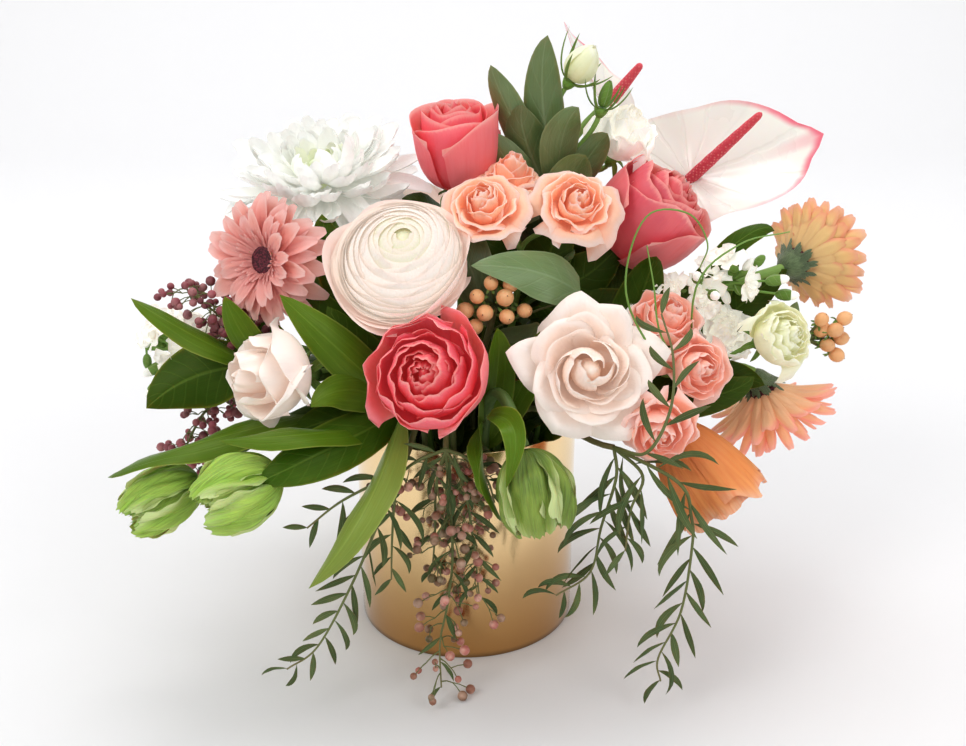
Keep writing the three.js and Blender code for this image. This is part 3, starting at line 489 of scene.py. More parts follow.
def leaf_finish(name, body, vein, rim, ribs=9, gloss=0.42, patches=0.25, coat=0.0, marked=1.0,
                sheen=0.2, gleam=(1.0, 0.98, 0.55, 1.0)):
    """A leaf with a light midrib, side veins and a fine rim."""
    made = Finish(name, Roughness=gloss, Subsurface_Weight=0.12, Subsurface_Scale=0.002,
                  Specular_IOR_Level=sheen, Specular_Tint=gleam,
                  Coat_Weight=coat, Coat_Roughness=0.3)
    across, up, _, luck = made.marks()
    wander = made.spots(45.0, 3.0)
    midrib = 1 - abs(across).step(0.015, 0.07)
    rows = up * ribs - abs(across) * 1.6 + (wander - 0.5) * 0.35
    side_veins = (rows * 2 * math.pi).sine().step(0.86, 1.0) * (1 - abs(across).step(0.75, 0.98))
    fibre = made.streaks(3.0, 2.0, 14, 1.2, 29)
    green = made.mix(wander.step(0.35, 0.7) * patches, body, shade(vein, 0.8))
    green = made.mix(fibre.step(0.35, 0.7) * 0.4, green, shade(body, 0.5))
    green = made.mix(luck * 0.6, green, shade(body, 0.5))
    green = made.mix(side_veins * 0.16 * marked, green, vein)
    green = made.mix(midrib * 0.45 * marked, green, vein)
    made.feed(Base_Color=made.mix(abs(across).step(0.9, 1.0) * 0.3, green, rim),
              Roughness=gloss + (wander - 0.5) * 0.25)
    made.bump(fibre * 0.5 - side_veins * 0.6 - midrib * 0.8, 0.4, 0.4)


def stem_finish(name, body, tip):
    """A green stalk, lighter and redder here and there, with fine grooves along it."""
    made = Finish(name, Roughness=0.5, Subsurface_Weight=0.05, Subsurface_Scale=0.002)
    _, up, _, _ = made.marks()
    grooves = made.streaks(2.0, 2.0, 11, 7, 13)
    green = made.mix(grooves.step(0.3, 0.7) * 0.5, body, shade(body, 0.6))
    made.feed(Base_Color=made.mix(up.step(0.6, 1.0) * 0.4, green, tip),
              Roughness=0.45 + grooves * 0.2)
    made.bump(grooves, 0.3, 0.4)


def berry_finish(name, body, dark, pale, roughness, dust):
    """A berry with a dusty bloom on it and a dark tip."""
    made = Finish(name, Roughness=roughness, Subsurface_Weight=0.12, Subsurface_Scale=0.003,
                  Subsurface_Radius=(1.0, 0.4, 0.3))
    _, up, _, luck = made.marks()
    speck = made.spots(420.0, 3.0)
    soft = made.spots(140.0, 2.0)
    skin = made.mix(luck, body, dark)
    skin = made.mix(soft.step(0.4, 0.7) * dust, skin, pale)
    skin = made.mix(speck.step(0.6, 0.72) * 0.25, skin, shade(dark, 0.5))
    made.feed(Base_Color=made.mix(up.step(0.9, 0.97), skin, (0.03, 0.015, 0.01)),
              Roughness=roughness + soft * 0.25)
    made.bump(speck + soft, 0.2, 0.2)


def tulip_finish(name, green):
    """Leafy green with darker veins along the petal, and cream at its ragged edge."""
    made = Finish(name, Roughness=0.4, Subsurface_Weight=0.15, Subsurface_Scale=0.003)
    across, up, _, _ = made.marks()
    streak = made.streaks(3.0, 4.0, 9, 1.2, 31)
    cloud = made.spots(60.0, 3.0)
    edge = (abs(across) ** 2 * 0.5 + up * 0.66 + (streak - 0.5) * 0.3).step(0.6, 0.95)
    coat = made.mix(streak.step(0.35, 0.7) * 0.6, green, shade(green, 0.35))
    coat = made.mix(cloud.step(0.35, 0.7) * 0.4, coat, blend(green, (0.6, 0.7, 0.12), 0.5))
    coat = made.mix((1 - up.step(0.0, 0.5)) * 0.4, coat, shade(green, 0.45))
    made.feed(Base_Color=made.mix(edge * 0.75, coat, (0.76, 0.82, 0.4)),
              Roughness=0.35 + streak * 0.2)
    made.bump(streak * 2 + cloud, 0.6, 1.0)


def spathe_finish():
    """Waxy white with sunk veins that fan out, and a pink edge towards the tip."""
    made = Finish("anthurium spathe", Roughness=0.25, Coat_Weight=0.3, Coat_Roughness=0.15,
                  Subsurface_Weight=0.12, Subsurface_Scale=0.003)
    across, up, _, _ = made.marks()
    cloud = made.spots(40.0, 3.0)
    veins = ((across * 7 + (cloud - 0.5) * 0.5) * 2 * math.pi).sine().step(0.75, 1.0)
    edge = (up + (cloud - 0.5) * 0.1).step(0.92, 1.0)
    tipward = 1 - abs(across).step(0.05, 0.42)
    midrib = (1 - abs(across).step(0.004, 0.03)) * up.step(0.45, 1.0) * 0.4
    white = blend(tint("white"), (0.75, 0.72, 0.64), 0.5)
    wax = made.mix(cloud.step(0.3, 0.8) * 0.3, white, (0.88, 0.86, 0.78))
    wax = made.mix(veins * 0.07, wax, (0.72, 0.7, 0.6))
    blush = edge * (0.12 + tipward * 0.88) + midrib * (1 - edge)
    made.feed(Base_Color=made.mix(blush, wax, (0.83, 0.16, 0.24)), Roughness=0.22 + cloud * 0.12)
    made.bump(cloud * 0.6 - veins, 0.35, 0.8)


def spadix_finish():
    """Coral pink, set all over with tiny pale florets."""
    made = Finish("anthurium spadix", Roughness=0.5, Subsurface_Weight=0.1,
                  Subsurface_Scale=0.002)
    settings = {"Vector": made.object_place(), "Scale": 620.0, "Randomness": 0.2}
    cells = made.node("ShaderNodeTexVoronoi", None, settings, output="Distance")
    _, up, _, _ = made.marks()
    rose = made.mix(up.step(0.1, 0.9), (0.6, 0.05, 0.085), (0.72, 0.08, 0.11))
    dots = (1 - cells.step(0.2, 0.42)) * (0.75 - up * 0.5)
    made.feed(Base_Color=made.mix(dots, rose, (0.92, 0.36, 0.34)), Roughness=0.4 + cells * 0.3)
    made.bump(1 - cells, 0.9, 0.6)


def bract_finish():
    """The dull green scales of a gerbera's cup, with a hairy look."""
    made = Finish("gerbera cup", Roughness=0.8, Sheen_Weight=0.4, Sheen_Roughness=0.5)
    _, up, _, _ = made.marks()
    hairs = made.streaks(4.0, 3.0, 9, 2, 17)
    green = made.mix(hairs.step(0.35, 0.65), (0.05, 0.09, 0.035), (0.14, 0.2, 0.09))
    made.feed(Base_Color=made.mix(up * 0.5, green, (0.2, 0.27, 0.13)),
              Roughness=0.65 + hairs * 0.3)
    made.bump(hairs, 0.8, 0.6)


def gold_finish():
    """Satin gold, fine turned grain, faint cloudy wear, and painted reflection and shade: paler
    high up, dark at the foot.
    """
    gold = tint("gold")
    made = Finish("satin gold", Metallic=1.0, Roughness=0.2, Coat_Weight=0.8, Coat_IOR=1.5,
                  Coat_Roughness=0.12)
    height = made.node("ShaderNodeSeparateXYZ", None, {0: made.object_place()}, output=2)
    grain = made.spots(3.0, 2.0, made.node("ShaderNodeCombineXYZ", None, {2: height * 900}))
    cloud = made.spots(22.0, 3.0)
    # pale above and deep below are a painted reflection: the far lit floor high up, the shaded
    # floor near the foot low down
    pale = blend(gold, (1.0, 0.8, 0.46), 0.7)
    deep = tuple(part * share for part, share in zip(gold, (0.82, 0.72, 0.5)))
    metal = made.mix(height.step(0.0, 0.1), deep, pale)
    metal = made.mix(cloud.step(0.35, 0.75) * 0.2, metal, shade(gold, 0.85))
    # The lowest 4 mm go dark brown: painted shade where the vase meets the floor
    low = 1 - height.step(0.0, 0.004)
    made.feed(Base_Color=made.mix(low * 0.75, metal, (0.16, 0.08, 0.03)),
              Roughness=0.1 + cloud * 0.1 + grain * 0.05)
    made.bump(cloud, 0.05, 0.5)


def grained_finishes():
    """A gerbera's dark disc and its pollen, the water, and the pale floor."""
    disc = Finish("gerbera disc", Roughness=0.7)
    cells = disc.spots(900.0, 3.0)
    disc.feed(Base_Color=disc.mix(cells.step(0.4, 0.65), (0.045, 0.006, 0.012), (0.2, 0.03, 0.05)))
    disc.bump(cells, 0.9, 0.6)
    pollen = Finish("pollen", Roughness=0.8)
    grains = pollen.spots(900.0, 3.0)
    pollen.feed(Base_Color=pollen.mix(grains.step(0.4, 0.6), (0.75, 0.62, 0.25), (0.42, 0.42, 0.1)))
    pollen.bump(grains, 0.9, 0.5)
    water = Finish("water", Roughness=0.03, Transmission_Weight=1.0, IOR=1.33)
    ripple = water.spots(30.0, 1.0)
    water.feed(Base_Color=water.mix(ripple * 0.3, tint("water"), (0.7, 0.78, 0.7)))
    water.bump(ripple, 0.15, 1.0)
    floor = Finish("pale floor", Roughness=0.75, Specular_IOR_Level=0.3)
    dust = floor.spots(300.0, 2.0)
    floor.feed(Base_Color=floor.mix(dust * 0.04, (0.81, 0.81, 0.82), (0.77, 0.77, 0.785)))


def petal_finishes():
    """A finish for each kind of petal."""
    # Each light below is a painted glow: an emission that brightens the petals' shaded folds
    rim = tint("coral_rim")
    # The second coral is the same colour at 0.8 as light: painted shade for the rose at the right,
    # which sits in shade
    for name, depth in (("coral petal", 1.0), ("deep coral petal", 0.8)):
        coral = shade(tint("coral"), depth)
        petal_finish(name, coral, (0.9, 0.1, 0.1), rim, 0.9, 0.9, low=0.5, light=0.05,
                     outer_tint=blend(coral, rim, 0.35))
    blush, heart = tint("blush"), tint("blush_heart")
    petal_finish("blush petal", blush, blend(blush, heart, 0.8), shade(blush, 1.04), root=heart,
                 flush=0.4, inner_to=0.4, veins=0.05, low=0.16, light=0.06, glow=0.22,
                 streaks=blend(blush, (0.85, 0.66, 0.58), 0.25))
    cream = tint("cream")
    pink = blend(cream, (0.95, 0.42, 0.32), 0.4)
    petal_finish("ranunculus petal", cream, blend(cream, (0.72, 0.8, 0.3), 0.5),
                 blend(cream, pink, 0.3), 0.9, flush=1.0, inner_to=0.22, veins=0.06, low=0.0,
                 light=0.08, outer_tint=blend(cream, pink, 0.8), streaks=blend(cream, pink, 0.4))
    white = tint("white")
    petal_finish("white petal", white, blend(white, (0.75, 0.88, 0.12), 0.6), white, flush=1.0,
                 inner_to=0.42, veins=0.02, low=0.08, glow=0.2, light=0.06,
                 streaks=shade(white, 0.9))
    petal_finish("lisianthus petal", white, blend(white, (0.8, 0.8, 0.45), 0.3),
                 blend(white, (0.8, 0.6, 0.4), 0.35), flush=0.2, low=0.2, glow=0.15, light=0.15,
                 root=blend(white, (0.9, 0.55, 0.42), 0.4), streaks=(0.75, 0.68, 0.52))
    greener = [blend(white, (0.78, 0.76, 0.22), share) for share in (0.4, 0.75, 0.15)]
    petal_finish("cream bud petal", *greener, flush=0.4, veins=0.08, low=0.35, light=0.08)
    peach, salmon, poppy = tint("peach"), tint("salmon"), tint("poppy")
    petal_finish("peach petal", peach, (1.0, 0.42, 0.25), blend(peach, (1, 0.87, 0.82), 0.85),
                 0.84, 0.85, veins=0.06, flush=0.55, low=0.5, light=0.08)
    petal_finish("salmon petal", salmon, (1.0, 0.42, 0.27), blend(salmon, (1, 0.83, 0.79), 0.7),
                 0.84, 0.75, veins=0.08, flush=0.45, low=0.5, light=0.07)
    petal_finish("poppy petal", poppy, (0.85, 0.2, 0.06), blend(poppy, (1, 0.78, 0.55), 0.5),
                 0.85, root=(0.85, 0.55, 0.16), veins=0.4, flush=0.1, glow=0.3, roughness=0.6,
                 low=0.4, relief=1.0)
    pink = tint("gerbera_pink")
    pink_heart, pink_rim = blend(pink, (0.8, 0.2, 0.22), 0.4), blend(pink, (1, 0.84, 0.78), 0.7)
    for name, heart, rim, sides, rim_from, rim_share, light in (
        ("gerbera_pink", pink_heart, pink_rim, 0.1, 0.7, 0.6, 0.03),
        ("gerbera_peach", (0.88, 0.58, 0.28), (0.95, 0.32, 0.2), 0.6, 0.72, 0.85, 0.03),
        ("gerbera_coral", (0.9, 0.55, 0.3), (0.95, 0.3, 0.26), 0.5, 0.75, 0.9, 0.12),
    ):
        petal_finish(name + " petal", tint(name), heart, rim, rim_from, rim_share, veins=0.2,
                     flush=0.2, sides=sides, low=0.4, light=light)
    # Two copies of one tulip green: 1.15 times as light is painted light on the tulips at the left,
    # and 0.55 as light is painted shade on the tulip that hangs in front
    tulip_finish("tulip petal", shade(tint("tulip"), 1.15))
    tulip_finish("deep tulip petal", shade(tint("tulip"), 0.55))


def green_finishes():
    """A finish for each kind of stem, leaf and berry."""
    stem, broad = tint("stem"), tint("leaf")
    stem_finish("stem", stem, blend(stem, (0.4, 0.5, 0.15), 0.5))
    # The tulips' stems are the stem green darkened: painted shade, as they stand in shade under the
    # blooms
    stem_finish("tulip stem in painted shade", shade(stem, 0.4), shade(stem, 0.6))
    stem_finish("twig", (0.16, 0.19, 0.06), (0.26, 0.17, 0.08))
    leaf_finish("green cup", shade(stem, 0.9), (0.45, 0.55, 0.3), (0.5, 0.45, 0.3), 5, 0.55)
    leaf_finish("broad leaf", broad, (0.2, 0.32, 0.05), (0.3, 0.4, 0.06), marked=0.7)
    # Darker foliage, and in part painted shade: the broad leaf's green at 0.62, for leaves deep in
    # the arrangement and behind it
    leaf_finish("dark leaf with painted shade", shade(broad, 0.62), (0.12, 0.2, 0.03), (0.16, 0.24, 0.04),
                gloss=0.4, marked=0.7)
    leaf_finish("tulip leaf", blend(broad, (0.3, 0.5, 0.03), 0.25), (0.28, 0.42, 0.06),
                (0.5, 0.58, 0.14), 0.01, 0.36, coat=0.06, marked=0.4)
    # A lighter copy of the broad leaf's green: painted light on the leaf that hangs in front, as
    # lit from above
    leaf_finish("leaf in painted light", blend(broad, (0.42, 0.55, 0.11), 0.75), (0.42, 0.55, 0.14),
                (0.55, 0.62, 0.2), 0.01, 0.36, coat=0.1, marked=0.4)
    leaf_finish("grey green leaf", (0.17, 0.26, 0.09), (0.36, 0.46, 0.26), (0.32, 0.42, 0.22),
                6, 0.36, patches=0.4, marked=0.45, sheen=0.4, coat=0.4,
                gleam=(0.95, 1.0, 0.95, 1.0))
    leaf_finish("pepper leaflet", tint("foliage"), (0.3, 0.38, 0.16), (0.4, 0.4, 0.15), 0.01, 0.5,
                patches=0.5)
    pepper, berry = tint("pepper"), tint("hypericum")
    berry_finish("pepper berry", pepper, shade(pepper, 0.45), (0.7, 0.4, 0.38), 0.45, 0.35)
    berry_finish("hypericum berry", berry, shade(berry, 0.85), (0.9, 0.6, 0.36), 0.3, 0.25)
    berry_finish("olive berry", (0.5, 0.17, 0.14), (0.11, 0.1, 0.03), (0.85, 0.58, 0.46), 0.32,
                 0.5)


def finish_named(name):
    """The finish of that name. All are made when the first is asked for."""
    if not FINISHES:
        for make in (petal_finishes, green_finishes, grained_finishes, spathe_finish,
                     spadix_finish, bract_finish, gold_finish):
            make()
    return FINISHES[name]


# Stems, leaves and cups


# The facing of a leaf that looks to the front and a little up
RAISED = (0, -1, 0.3)
# The shares of a stem's length between which its filler leaves grow
FILLER_FROM, FILLER_TO = 0.52, 0.9


def stem_path(mouth, end, arrival, rise=45, run=30):
    """Straight from the vase's floor to its mouth, then bent towards the bloom.

    mouth is a distance and an angle at the vase's rim. rise and run are how far the stem keeps its
    direction after the rim and before the bloom.
    """
    ring, degrees = mouth
    foot = polar(ring * FOOT_SPREAD, degrees, VASE_FLOOR + GAP + 1)
    rim = polar(ring, degrees, VASE_TOP)
    lean = unit(rim - foot)
    bend = bezier((rim, rim + lean * rise, end - unit(arrival) * run, end), 16)
    return np.vstack((lerp(foot, rim, np.linspace(0, 0.9, 5)[:, None]), bend))


def green_cup(form, seat, radius, length, sepals=5, reach=16, slot=1, width=0.36,
              drops=(0.2, 0.75)):
    """The cup under a bloom, with narrow sepals that bend back."""
    under = Seat(seat.under, seat.facing)
    profile = ((0, -length), (radius * 0.45, -length), (radius * 0.8, -length * 0.6),
               (radius, -length * 0.15), (radius * 0.8, 0), (0, 0))
    form.turned(profile, under, 12, slot=slot)
    across, up = mesh_grid(9, 5)
    for k in range(sepals):
        turn = 2 * math.pi * k / sepals + form.draw.uniform(-0.2, 0.2)
        drop = form.draw.uniform(*drops)
        swell = np.sin(np.pi * np.minimum(up * 0.85 + 0.15, 1)) ** 0.7
        half = reach * width / 2 * swell * across
        out = radius * 0.6 + reach * up * (1 - 0.3 * up)
        down = -radius * 0.2 - reach * drop * up**1.6 + 0.5 * np.abs(half)
        form.sheet(under.place(spun(out, half, down, turn)), 0.7, slot=slot)


def leaf(form, root, middle, tip, width, face, thickness=None, fold=-0.3, wave=1.2, widest=0.42,
         twist=0.0, slot=0, rows=15, columns=9, blunt=0.75):
    """A leaf along three points.

    face is where its upper side looks. fold lifts its sides, or drops them where it is negative.
    widest is the share of its length where it is widest, and a low blunt gives it rounder ends.
    """
    root, middle, tip = (np.asarray(p, float) for p in (root, middle, tip))
    bend = 2 * middle - (root + tip) / 2
    across, up = mesh_grid(rows, columns)
    t = up[..., None]
    rib = root * (1 - t) ** 2 + 2 * bend * t * (1 - t) + tip * t**2
    ahead = (bend - root) * (1 - t) + (tip - bend) * t
    ahead /= np.linalg.norm(ahead, axis=-1, keepdims=True)
    side = np.cross(np.broadcast_to(unit(face), ahead.shape), ahead)
    side /= np.linalg.norm(side, axis=-1, keepdims=True)
    above = np.cross(ahead, side)
    c, s = np.cos(twist * t), np.sin(twist * t)
    side, above = side * c + above * s, above * c - side * s
    swell = np.sin(np.pi * up ** (math.log(0.5) / math.log(widest)))
    half = width / 2 * np.maximum(swell, 0) ** blunt
    phase = form.draw.uniform(0, 6)
    ripple = wave * np.abs(across) ** 1.5 * np.sin(4 * np.pi * up + phase + (across > 0))
    flat = across * half * math.cos(fold)
    lift = np.abs(across) ** 1.4 * half * math.sin(fold) + ripple * swell
    points = rib + side * flat[..., None] + above * lift[..., None]
    form.sheet(points, thickness or size("leaf"), slot=slot)


def filler_leaves(form, path, count, length):
    """Dark leaves low on a stem, which close the gaps between the blooms."""
    draw = form.draw
    for k in range(count):
        share = lerp(FILLER_FROM, FILLER_TO, (k + draw.random()) / count)
        root, forward = along(path, share)
        turn = k * GOLDEN + draw.uniform(0, 6)
        out = unit(np.array((math.cos(turn), math.sin(turn), 0)) * 0.9 + forward * 0.8)
        reach = length * draw.uniform(0.75, 1.15)
        middle = root + out * reach * 0.55 + (0, 0, 0.06 * reach)
        tip = root + out * reach + (0, 0, -0.1 * reach)
        face = unit(np.array((0, -0.5, 0.9)) + draw.normal(0, 0.3, 3))
        leaf(form, root, middle, tip, reach * draw.uniform(0.42, 0.56), face, slot=2, wave=1.5,
             fold=-0.25, rows=11, columns=7)


def blade(share, middle, tip, width, face=(0, -1, 0.2), root=None, **more):
    """A leaf on a stem: the share of the stem's length where it grows, then the leaf's own."""
    return share, root, dict(more, middle=middle, tip=tip, width=width, face=face)


def leaves_on(form, path, leaves, slot, thickness=None):
    """Leaves that grow from a stem, some on a stalk of their own."""
    for share, root, settings in leaves:
        start, forward = along(path, share)
        if root is not None:
            stalk = (start, start + forward * 8, lerp(start, np.array(root, float), 0.8), root)
            form.tube(bezier(stalk, 10), 0.7, 6)
        root = start if root is None else root
        leaf(form, root, **{"slot": slot, "thickness": thickness, **settings})


# Blooms of cupped petals


class Bloom:
    """The settings of one bloom: its seat, its petals and its stem, lengths in millimetres.

    inner and outer are the curves of the innermost and the outermost petal as shares of radius
    and height. The spans are the angles that those petals wrap round the bloom, in degrees.
    """

    petals, rows, columns, crowd, star, spin, odd = 16, 13, 15, 0.85, 0, 0, 0
    ruffle, waves, curl, tuck, pleats, pointed, rounded = 0.03, 3, 0.0, 0.09, 0, 0, 0.26
    inner_span, outer_span = 210, 112
    stem, cup, sepals, rise = 2.4, 6, 5, 45

    def __init__(self, at, axis, radius, height, seed, **settings):
        self.seat = Seat(at, axis, height)
        self.radius, self.height, self.seed = radius, height, seed
        self.__dict__.update(settings)


def petal_grid(form, bloom, outer):
    """One petal about +Z: outer is 1 on the outermost petal and 0 on the innermost."""
    radius, height, pointed, draw = bloom.radius, bloom.height, bloom.pointed, form.draw
    handles = lerp(np.array(bloom.inner), np.array(bloom.outer), outer) * (radius, height)
    across, up = mesh_grid(bloom.rows, bloom.columns)
    up = up**0.85
    side = np.abs(across)
    phase = draw.uniform(0, 2 * math.pi, 3)
    ruffle = bloom.ruffle * draw.uniform(0.5, 1.3) * (0.4 + 0.65 * outer)
    notch = ruffle * 0.8 * np.sin(bloom.waves * 1.9 * across + phase[0]) * up**5
    point = pointed * (0.25 + 0.75 * outer) * 0.34 * side**0.9
    fall = bloom.rounded * (0.35 + 0.65 * outer) * side**2.4
    reach = up * (1 - fall - point) * (1 - 0.06 * draw.random()) + notch
    path = bezier(handles, np.clip(reach, 0, 1.04))
    r, z = path[..., 0], path[..., 1]
    r = r + radius * ruffle * up**3 * np.sin(bloom.waves * math.pi * across + phase[1])
    pleats = np.sin(19 * across + 3 * np.sin(5 * across) + phase[0])
    r = r + radius * bloom.pleats * up * pleats
    r = r * (1 - 0.2 * pointed * outer * side * up**2)
    r = r * (1 + bloom.tuck * across * (1 + 1.6 * (1 - outer)) - 0.05 * side**2 * up)
    rolled = np.clip((up + 0.22 * side**2 - 0.74) / 0.26, 0, 1.6)
    curl = bloom.curl * outer**1.2 * draw.uniform(0.5, 1.4)
    r = r + radius * curl * rolled**2
    z = z - height * curl * 0.9 * rolled**2.4
    z = z + height * 0.025 * np.sin(phase[2] + 4 * across) * up**2
    span = math.radians(lerp(bloom.inner_span, bloom.outer_span, outer**0.5))
    return wrapped(r, across * span / 2 * (1 - 0.16 * up * pointed * outer), z)


def cupped_head(form, bloom, slot=0):
    """A whole bloom of cupped petals, set in a spiral."""
    radius, draw, seat = bloom.radius, form.draw, bloom.seat
    tight = np.array(bloom.inner) * (radius, bloom.height)
    bud = bezier(tight, 9) * (0.62, 0.93)
    form.turned([*bud, (0, bud[-1][1] * 1.01)], seat, 12, layer=0.0, slot=slot)
    for k in range(bloom.petals):
        outer = 1 - (k / (bloom.petals - 1)) ** bloom.crowd
        points = petal_grid(form, bloom, outer)
        turn = k * GOLDEN if k >= bloom.star else k * STAR + k // 5 * STAR / 4
        turn = turn + draw.uniform(-0.12, 0.12) + bloom.spin
        c, s = math.cos(turn), math.sin(turn)
        points = points @ np.array(((c, s, 0), (-s, c, 0), (0, 0, 1)))
        odd = bloom.odd * min(1, 3 * (1 - outer))
        points = points * (1, 1, 1 + draw.uniform(-odd, odd))
        aside = [draw.uniform(-odd, odd) * radius * part for part in (c, s)]
        form.sheet(seat.place(points + (*aside, 0)), size("petal"), layer=outer, slot=slot)


def ball_head(form, bloom):
    """Thin petals wrapped round a flattened ball, each a little further down than the next."""
    radius, height, loose, petals = bloom.radius, bloom.height, bloom.loose, bloom.petals
    draw, seat = form.draw, bloom.seat
    across, up = mesh_grid(21, 25)
    side = np.abs(across)
    for k in range(petals + loose):
        free = k < loose
        outer = 1.0 if free else 1 - ((k - loose) / (petals - 1)) ** 0.9
        rim = math.radians(draw.uniform(72, 104) if free else lerp(6, 97, outer**0.8))
        share = up**0.7 * (1 - 0.3 * side**2.4 * (0.04 + outer))
        share = share + 0.012 * outer * np.sin(7 * across + k) * up**5
        angle = lerp(math.radians(168), rim, share)
        phase = draw.uniform(0, 6, 2)
        swell = lerp(0.74, 1.0, outer) + (0.13 * up**4 if free else 0.05 * up**9)
        swell = swell + (0.05 if free else 0.012) * np.sin(5 * across + phase[0]) * up**3
        r = radius * swell * np.sin(angle) * (1 + 0.05 * across)
        z = height / 2 * (1 + swell * np.cos(angle))
        span = math.radians(lerp(230, 150, outer**0.5))
        turn = across * span / 2 + k * GOLDEN + draw.uniform(-0.1, 0.1)
        shift = 0.24 * radius * (1 - outer)
        points = wrapped(r, turn, z) + (shift * 0.8, shift * 0.6, 0)
        form.sheet(seat.place(points), size("petal") * 0.7, layer=outer)
    top = height * 0.5 * 1.74
    core = [(0, top - 9), (6.5, top - 9), (6.2, top - 2.4), (4.6, top - 1.4), (2, top - 0.8),
            (0, top - 1.2)]
    centre = Seat(seat.place(np.array((0.19 * radius, 0.144 * radius, 0))), seat.facing)
    form.turned(core, centre, 14, layer=0.0)


TALL_HEART = ((0, 0.12), (0.34, 0.12), (0.32, 0.86), (0.04, 0.98))
OPEN_CUP = ((0, 0.02), (0.7, 0.06), (0.98, 0.45), (1.12, 0.42))
SUNK_HEART = ((0, 0.12), (0.3, 0.12), (0.34, 0.66), (0.05, 0.8))


def cup_curve(open_, flare=0.1):
    """The outermost petal's curve, as in the solids: how open it is, and how its rim flares."""
    return ((0, 0.05), (1.05 - 0.1 * open_, 0.05), (1.25 - 0.25 * open_, 0.66 - 0.22 * open_),
            (0.82 + 0.2 * open_ + flare, 0.92 - 0.34 * open_))


ROSE = dict(rows=15, columns=19, inner=TALL_HEART)
CORAL = dict(ROSE, finish="coral petal", slot="petal_coral")
BLUSH = dict(ROSE, finish="blush petal", slot="petal_blush")
GARDEN_ROSES = {
    "rose_coral_front": Bloom(
        (-17, -90, 181), (-0.15, -0.83, 0.53), 30, 44, 3, mouth=(MIDDLE, -100),
        **dict(CORAL, inner=SUNK_HEART), outer=cup_curve(0.3, -0.02), petals=20, ruffle=0.05,
        curl=0.09, waves=4, rounded=0.12, outer_span=160, inner_span=165, odd=0.05),
    "rose_coral_top": Bloom(
        (-5, 12, 276), (-0.08, -0.15, 0.98), 24, 50, 5, mouth=(HEART, 110), **CORAL,
        outer=((0, 0), (1.1, 0.0), (1.02, 0.55), (0.98, 0.97)), petals=14, ruffle=0.025,
        curl=0.08, rounded=0.08, outer_span=195, tuck=0.05),
    "rose_coral_right": Bloom(
        (100, 2, 239), (0.62, -0.25, 0.74), 31, 60, 8, mouth=(INNER, -2),
        # This rose wears the coral darkened as painted shade
        **dict(CORAL, finish="deep coral petal"),
        outer=((0, 0.02), (1.05, 0.02), (1.15, 0.55), (0.86, 0.9)), ruffle=0.045, waves=4,
        curl=0.08, rounded=0.1, outer_span=180, tuck=0.05),
    "rose_blush_left": Bloom(
        (-97, -80, 176), (-0.75, -0.6, 0.15), 26, 44, 11, mouth=(MIDDLE, -140), **BLUSH,
        outer=cup_curve(0.3, 0.07), petals=13, ruffle=0.085, curl=0.13, pointed=0.5,
        rounded=0.12, outer_span=135, inner_span=145, tuck=0.05, odd=0.1),
    "rose_blush_right": Bloom(
        (61, -88, 183), (0.02, -0.93, 0.36), 37, 38, 13, mouth=(MIDDLE, -62),
        **dict(BLUSH, inner=((0, 0.12), (0.34, 0.12), (0.34, 0.8), (0.1, 0.96))),
        outer=((0, 0.02), (0.6, 0.08), (0.98, 0.46), (1.12, 0.36)), petals=26, ruffle=0.035,
        curl=0.1, pointed=1.45, outer_span=118, inner_span=135, star=10, spin=0.35, rounded=0.1,
        waves=2, odd=0.1),
    "rose_blush_back": Bloom(
        (-34, 74, 222), (-0.2, 0.8, 0.6), 28, 36, 17, mouth=(MIDDLE, 112), **BLUSH,
        outer=cup_curve(0.6, 0.06), petals=20, curl=0.12, pointed=0.4),
    "rose_coral_back": Bloom(
        (52, 78, 206), (0.3, 0.8, 0.5), 31, 44, 19, mouth=(MIDDLE, 66),
        **dict(CORAL, inner=SUNK_HEART), outer=cup_curve(0.3, 0.05), petals=22, ruffle=0.04,
        curl=0.08),
}
RANUNCULUS = Bloom((-34, -54, 228), (-0.1, -0.7, 0.7), 33, 42, 23, mouth=(INNER, -120),
                   petals=44, loose=6, finish="ranunculus petal", slot="petal_cream")
POPPY = Bloom(
    (123, -66, 120), (0.6, -0.3, -0.75), 22, 60, 71, mouth=(OUTER, -25), finish="poppy petal",
    slot="petal_poppy", inner=((0, 0.02), (0.75, 0.04), (0.95, 0.62), (1.0, 0.94)),
    outer=((0, 0.02), (0.85, 0.04), (1.1, 0.62), (1.16, 0.96)), petals=5, rows=21, columns=31,
    ruffle=0.09, waves=6, curl=0.01, outer_span=165, inner_span=160, rounded=0.12, tuck=0.04,
    pleats=0.045, stem=1.8, cup=4, sepals=0, rise=50)

SMALL_ROSE = dict(petals=19, ruffle=0.07, curl=0.15, pointed=0.3, odd=0.08, inner=TALL_HEART,
                  outer=OPEN_CUP, outer_span=125, rounded=0.2, finish="peach petal",
                  slot="petal_peach")
FRILLED = dict(ruffle=0.07, curl=0.14, inner=TALL_HEART, odd=0.06, outer_span=130,
               outer=cup_curve(0.6, 0.0), rounded=0.2, pointed=0.3)
SALMON = dict(FRILLED, finish="salmon petal", slot="petal_salmon")
WHITE = dict(FRILLED, finish="lisianthus petal", slot="petal_white", petals=17, waves=5)
BUD = dict(petals=6, inner=((0, 0.02), (0.9, 0.0), (1.0, 0.7), (0.05, 1.0)),
           outer=((0, 0.0), (1.2, 0.0), (1.15, 0.7), (0.12, 0.96)), outer_span=170,
           inner_span=200, ruffle=0.02)

